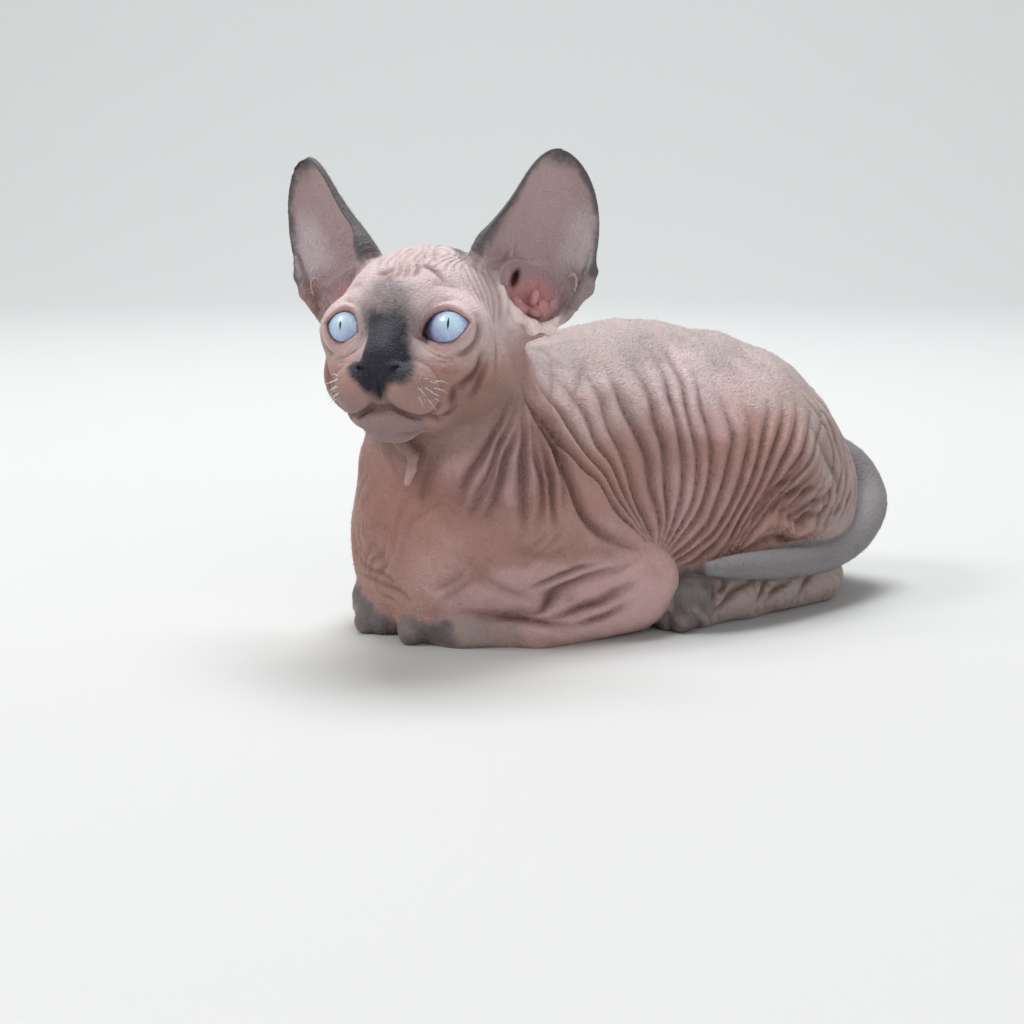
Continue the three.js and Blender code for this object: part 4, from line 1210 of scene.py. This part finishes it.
eye_material, start = new_material('eye')
at = start.node('Attribute', {'attribute_name': 'sight'}, out='Vector')
across, upright = (at.node('SeparateXYZ', inputs={0: at}, out=k) for k in (0, 1))
radius = across.maths('SQRT', across * across + upright * upright)
angle = across.maths('ARCTAN2', upright, across)
strand = start.noise(start.node('CombineXYZ', inputs={0: angle * 1.1, 1: radius * 0.3, 2: 0.0}), 5.0, 4, 0.7)
share = radius * (1 / IRIS_RADIUS)
iris = share.node('ValToRGB', {'stops': IRIS_RINGS}, {0: share})
iris = ((strand - 0.45) * 3.2).between(0.0, 1.0).tint(iris, (0.78, 0.88, 0.95))
low = (0.0 - upright + strand * 2.0 - across * 0.4).between(0.6, 5.5)
iris = (low * 0.45).tint(iris, (0.33, 0.36, 0.66))
slit = across.maths('ABSOLUTE', across) * 3.0 + upright * upright * 0.32
iris = (1 - slit.between(0.85, 1.15)).tint(iris, (0.012, 0.013, 0.018))
start.surface({
    'Base Color': (share - 1).between(0.0, 0.07).tint(iris, (0.35, 0.27, 0.28)), 'Roughness': 0.35,
    'Coat Weight': 1.0, 'Coat Roughness': 0.03, 'Specular IOR Level': 0.3, 'Subsurface Weight': 0.0})

local, quads, ends = eyeball()
for side, node in ((LEFT, 'eye_left'), (RIGHT, 'eye_right')):
    in_place = mirrored(local @ GAZE_TURN.T + np.float32(EYE_PLACE), side)
    world = in_place @ HEAD_TURN.T + np.float32(HEAD_PLACE)
    ball_object = mesh_object('eyeball_' + node[4:], world, quads[:, ::side], ends[:, ::side])
    sight = ball_object.data.attributes.new('sight', 'FLOAT_VECTOR', 'POINT')
    sight.data.foreach_set('vector', np.float32(local).ravel())
    ball_object.data.materials.append(eye_material)
    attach(ball_object, 'root')
    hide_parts(node)


# The hairs. The breed is not quite bald: a thin down follows the skin on every side, shortest on the
# face and feet, and short crinkled whiskers stand on the pads.
DOWN_COUNT = 46000
DOWN_LENGTH = 1.0
DOWN_WIDTH = 0.13
# The faces of one closed needle: three corners round its root, then its tip
NEEDLE_FACES = np.array(((0, 2, 1), (0, 1, 3), (1, 2, 3), (2, 0, 3)))
# One hair's patch on the unwrap: the corners of its root, and its tip
PATCH = ((-0.0015, -0.0012), (0.0015, -0.0012), (0.0, 0.0018), (0.0, 0.0))


def scattered(mesh, count, seed):
    """Random places spread evenly over a mesh: the three corners round each, and their weights."""
    mesh.calc_loop_triangles()
    corners = np.empty(len(mesh.loop_triangles) * 3, np.int32)
    mesh.loop_triangles.foreach_get('vertices', corners)
    areas = np.empty(len(mesh.loop_triangles), np.float32)
    mesh.loop_triangles.foreach_get('area', areas)
    draw = np.random.default_rng(seed)
    total = np.cumsum(areas, dtype=float)
    chosen = np.searchsorted(total, draw.uniform(0, total[-1], count))
    first, second = np.sqrt(draw.uniform(size=count)), draw.uniform(size=count)
    return corners.reshape(-1, 3)[chosen], np.stack([1 - first, first * (1 - second), first * second], 1)


def on_ears(q):
    """Where points of the head's frame lie on the ears: on which, and their places in its frame."""
    side = np.where(q[:, 0] > 0, 1, -1)
    e = (q * np.stack([side, side * side, side * side], 1) - np.float32(EAR_PLACE)) @ EAR_TURN
    return (e[:, 2] > 4) & (np.abs(e[:, 0]) < 24), side, e


def unwrapped(p, tail_share):
    """Places on an unwrap of the skin's own shape, from 0 to 1. The trunk and limbs are rolled open
    about their length below, then comes the tail by its course, then the head rolled open about its
    upright line, and beside it the front and back of each ear laid flat."""
    q = in_head(p)
    turn = np.arctan2(p[:, 0], p[:, 2] - 40) / (2 * math.pi) + 0.5
    spot = np.stack([(p[:, 1] + 125) / 240, 0.5 * turn], 1)
    gaps = ((p[:, None] - TAIL_COURSE[None, :, :3]) ** 2).sum(2).argmin(1)
    around = np.arctan2(p[:, 0] - TAIL_COURSE[gaps, 0], p[:, 2] - TAIL_COURSE[gaps, 2])
    strip = np.stack([(gaps + 0.5) / 27, 0.53 + around * 0.004], 1)
    spot = np.where(tail_share[:, None] > 0.5, strip, spot)
    reach = lengths(q)
    globe = np.stack([0.25 + np.arctan2(q[:, 0], -q[:, 1]) * 0.075,
                      0.78 + 0.14 * np.arcsin(np.clip(q[:, 2] / reach, -1, 1))], 1)
    spot = np.where(reach[:, None] < 42, globe, spot)
    ears, side, e = on_ears(q)
    behind = e[:, 1] > 2 + 12.5 * (1 - e[:, 2] / 44) * (1 - np.minimum(np.abs(e[:, 0]) / 16, 1) ** 2)
    flat = np.stack([0.62 + 0.14 * (side > 0) + e[:, 0] * 0.0025, 0.58 + 0.2 * behind + e[:, 2] * 0.0035], 1)
    return np.where((ears & (reach < 90))[:, None], flat, spot)


corners, weights = scattered(shape, DOWN_COUNT, 90)
vertex_normals = np.empty(len(places), np.float32)
shape.vertices.foreach_get('normal', vertex_normals)
roots = (places.reshape(-1, 3)[corners] * weights[..., None]).sum(1) / MM
origins = np.float32((rooted[corners] * weights[..., None]).sum(1))
normals = (vertex_normals.reshape(-1, 3)[corners] * weights[..., None]).sum(1)
root_marks = markings(origins)
q = in_head(origins)
in_eye = np.minimum(*[lengths(q * (s, 1, 1) - EYE_PLACE) for s in (LEFT, RIGHT)])
kept = ((roots[:, 2] > 1.5) & (root_marks['ear_deep'] < 0.3) & (root_marks['lids'] < 0.1)
        & (in_eye > EYE_RADIUS + 1.2))
roots, origins, normals, q = roots[kept], origins[kept], normals[kept], q[kept]
root_marks = {name: np.float32(values[kept]) for name, values in root_marks.items()}

draw = np.random.default_rng(91)
on_head = ease(44, 34, lengths(q))[:, None]
along = on_head * ((q - (0, -42, -10)) @ HEAD_TURN.T / 40) + (1 - on_head) * np.float32((0, 1, -0.45))
along += draw.normal(size=along.shape) * 0.3
along -= normals * (along * normals).sum(1)[:, None]
along /= lengths(along)[:, None]
across = np.cross(along, normals)
across /= lengths(across)[:, None]
small = np.maximum.reduce([on_head[:, 0] * ease(0, -20, q[:, 1]), root_marks['slate'], root_marks['mask']])
length = (DOWN_LENGTH - 0.55 * small) * draw.uniform(0.6, 1.3, len(roots))
lift = draw.uniform(0.25, 0.75, len(roots))[:, None]
tips = roots + (along * np.sqrt(1 - lift ** 2) + normals * lift) * length[:, None]
sunk_roots = roots - normals * 0.12
needles = np.stack([sunk_roots + across * DOWN_WIDTH / 2, sunk_roots - across * DOWN_WIDTH / 2,
                    sunk_roots + normals * DOWN_WIDTH, tips], 1).reshape(-1, 3)
faces = (np.arange(len(roots))[:, None, None] * 4 + NEEDLE_FACES).reshape(-1, 3)
down = mesh_object('down', needles, faces)
for name, values in root_marks.items():
    down.data.attributes.new(name, 'FLOAT', 'POINT').data.foreach_set('value', values.repeat(4))
spots = unwrapped(origins, root_marks['tail'])[:, None, None] + np.array(PATCH)[NEEDLE_FACES]
layer = down.data.uv_layers.new(name='OFBake')
layer.data.foreach_set('uv', np.float32(spots).ravel())
down_material, start = new_material('down')
colour, _ = hide_colour(start, start.node('TexCoord', out='Object'))
colour = start.node('Mix', {'data_type': 'RGBA'}, {0: 0.4, 6: colour, 7: (0.62, 0.54, 0.52, 1)}, out=2)
start.surface({'Base Color': colour, 'Roughness': 0.55, 'Specular IOR Level': 0.2})
down.data.materials.append(down_material)
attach(down, 'root')


def whisker(root, direction, length, bend, phase, steps=8, sides=5):
    """A tapered tube that leaves its root along the direction, sags, and waves to both sides."""
    t = np.linspace(0, 1, steps)[:, None]
    side = unit(np.cross(direction, (0.1, 0.2, 1)))
    lift = np.cross(side, direction)
    line = (root + direction * (t * length - 0.4) + side * np.sin(t * 7 + phase) * bend * t
            + lift * (np.cos(t * 6 + phase) * bend * 0.6 * t - 0.18 * length * t * t))
    turn = np.arange(sides) * 2 * math.pi / sides
    ring = np.cos(turn)[None, :, None] * side + np.sin(turn)[None, :, None] * lift
    points = (line[:, None] + ring * (0.11 - 0.08 * t[:, None])).reshape(-1, 3)
    quads = closed_net(steps, sides)[:, ::-1]
    foot, tip = len(points), len(points) + 1
    ends = [(foot, a, d) for a, _, _, d in quads[:sides]] + [(tip, c, b) for _, b, c, _ in quads[-sides:]]
    faces = np.concatenate([quads[:, (3, 0, 1)], quads[:, (3, 1, 2)], ends])
    return np.concatenate([points, line[:1], line[-1:]]), faces


# How many whiskers stand in each row of a pad, from the top row down, and their lengths
WHISKER_ROWS = (4, 5, 4)
WHISKER_LENGTHS = (1.6, 4.6)
PAD_MIDDLE = (7.6, -29, -15.5)
draw = np.random.default_rng(92)
hair_points, hair_faces, hair_spots = [], [], []
for side in (LEFT, RIGHT):
    for row, count in enumerate(WHISKER_ROWS):
        for step in range(count):
            aim = ((0.62 + 0.13 * step) * side, -1.15 + 0.28 * step, 0.42 - 0.42 * row)
            aim = unit(aim + draw.normal(size=3) * 0.07)
            root = mirrored(np.float32(PAD_MIDDLE), side) + np.float32(aim * (8, 8, 6.5))
            root, normal = drawn_on(root[None], face, rounds=5)
            root = root[0] @ HEAD_TURN.T + np.float32(HEAD_PLACE)
            heading = unit(normal[0] + (0.35 * side, 0.45, -0.25 + 0.12 * draw.normal())) @ HEAD_TURN.T
            made, cells = whisker(root, heading, draw.uniform(*WHISKER_LENGTHS), 0.45, draw.uniform(0, 6))
            hair_faces.append(cells + sum(len(points) for points in hair_points))
            hair_points.append(made)
            hair_spots += [unwrapped(root[None], np.zeros(1))[0]] * cells.size
whiskers = mesh_object('whiskers', np.concatenate(hair_points), np.concatenate(hair_faces))
layer = whiskers.data.uv_layers.new(name='OFBake')
wheel = np.tile(PATCH[:3], (len(hair_spots) // 3, 1))
layer.data.foreach_set('uv', np.float32(np.array(hair_spots) + wheel).ravel())
whisker_material, start = new_material('whiskers')
start.surface({'Base Color': (0.80, 0.74, 0.70, 1), 'Roughness': 0.4})
whiskers.data.materials.append(whisker_material)
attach(whiskers, 'root')


# The stage: a pale floor that curves up into a low wall all round, soft light from large panels, and
# the camera where the photograph was taken from.
FLOOR_REACH, WALL_BEND, WALL_HEIGHT = 1.6, 1.2, 2.4
FLOOR_SIDES = 96

bend = np.linspace(0, math.pi / 2, 24)
reach = np.append(FLOOR_REACH + WALL_BEND * np.sin(bend), FLOOR_REACH + WALL_BEND)
rise = np.append(WALL_BEND - WALL_BEND * np.cos(bend), WALL_HEIGHT)
around = np.arange(FLOOR_SIDES) * 2 * math.pi / FLOOR_SIDES
ring = np.stack([np.outer(reach, np.cos(around)), np.outer(reach, np.sin(around)),
                 np.outer(rise, np.ones(FLOOR_SIDES))], -1).reshape(-1, 3)
floor = mesh_object('floor', ring, [range(FLOOR_SIDES)], closed_net(len(reach), FLOOR_SIDES), scale=1)
floor_material, start = new_material('floor')
start.surface({'Base Color': (0.56, 0.56, 0.555, 1), 'Roughness': 0.75})
floor.data.materials.append(floor_material)
floor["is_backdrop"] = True

CAMERA_AZIMUTH, CAMERA_HEIGHT_ANGLE = math.radians(55), math.radians(9.5)
CAMERA_DISTANCE = 0.66
FOCAL_PIXELS = 2000
FRAME_PIXELS = 1024
SENSOR_WIDTH = 36
ORIGIN_PIXEL = (615, 606)


def light_panel(name, place, aim, size, power, colour):
    """A square area light at a place, turned to face its aim."""
    light = bpy.data.lights.new(name, 'AREA')
    light.size, light.energy, light.color = size, power, colour
    panel = bpy.data.objects.new(name, light)
    axes = frame_along(np.subtract(place, aim), (0.31, 0.95, 0.02))
    turn = np.eye(4)
    turn[:3, :3] = axes
    turn[:3, 3] = place
    panel.matrix_world = Matrix(turn)
    bpy.context.scene.collection.objects.link(panel)


light_panel('key', (-0.35, -1.3, 1.3), (0, 0, 0.06), 0.5, 13, (1.0, 0.985, 0.96))
light_panel('fill', (1.5, -0.35, 0.6), (0, 0, 0.05), 1.2, 7, (1.0, 0.98, 0.95))
light_panel('top', (-0.3, 0.2, 1.7), (0, 0, 0.05), 0.9, 30, (0.97, 0.985, 1.0))
light_panel('wall', (-0.9, 0.6, 1.9), (-2.3, 1.6, 0.8), 1.2, 25, (0.95, 0.985, 1.0))
world = bpy.data.worlds.new('studio')
world.use_nodes = True
world.node_tree.nodes['Background'].inputs['Color'].default_value = (0.82, 0.86, 0.88, 1)
world.node_tree.nodes['Background'].inputs['Strength'].default_value = 0.45
bpy.context.scene.world = world

sight = -np.array((math.sin(CAMERA_AZIMUTH) * math.cos(CAMERA_HEIGHT_ANGLE),
                   -math.cos(CAMERA_AZIMUTH) * math.cos(CAMERA_HEIGHT_ANGLE), math.sin(CAMERA_HEIGHT_ANGLE)))
rightward = np.array((math.cos(CAMERA_AZIMUTH), math.sin(CAMERA_AZIMUTH), 0))
upward = np.cross(rightward, sight)
centre = FRAME_PIXELS / 2
spot = (-sight - rightward * (ORIGIN_PIXEL[0] - centre) / FOCAL_PIXELS
        + upward * (ORIGIN_PIXEL[1] - centre) / FOCAL_PIXELS) * CAMERA_DISTANCE
lens = bpy.data.cameras.new('camera')
lens.sensor_width = SENSOR_WIDTH
lens.lens = SENSOR_WIDTH * FOCAL_PIXELS / FRAME_PIXELS
camera = bpy.data.objects.new('camera', lens)
turn = np.eye(4)
turn[:3, :3] = np.stack([rightward, upward, -sight], 1)
turn[:3, 3] = spot
camera.matrix_world = Matrix(turn)
bpy.context.scene.collection.objects.link(camera)
bpy.context.scene.camera = camera
bpy.context.scene.view_settings.view_transform = 'Standard'

boxes = [[list(map(float, corner)) for corner in box] for box in (cad_box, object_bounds())]
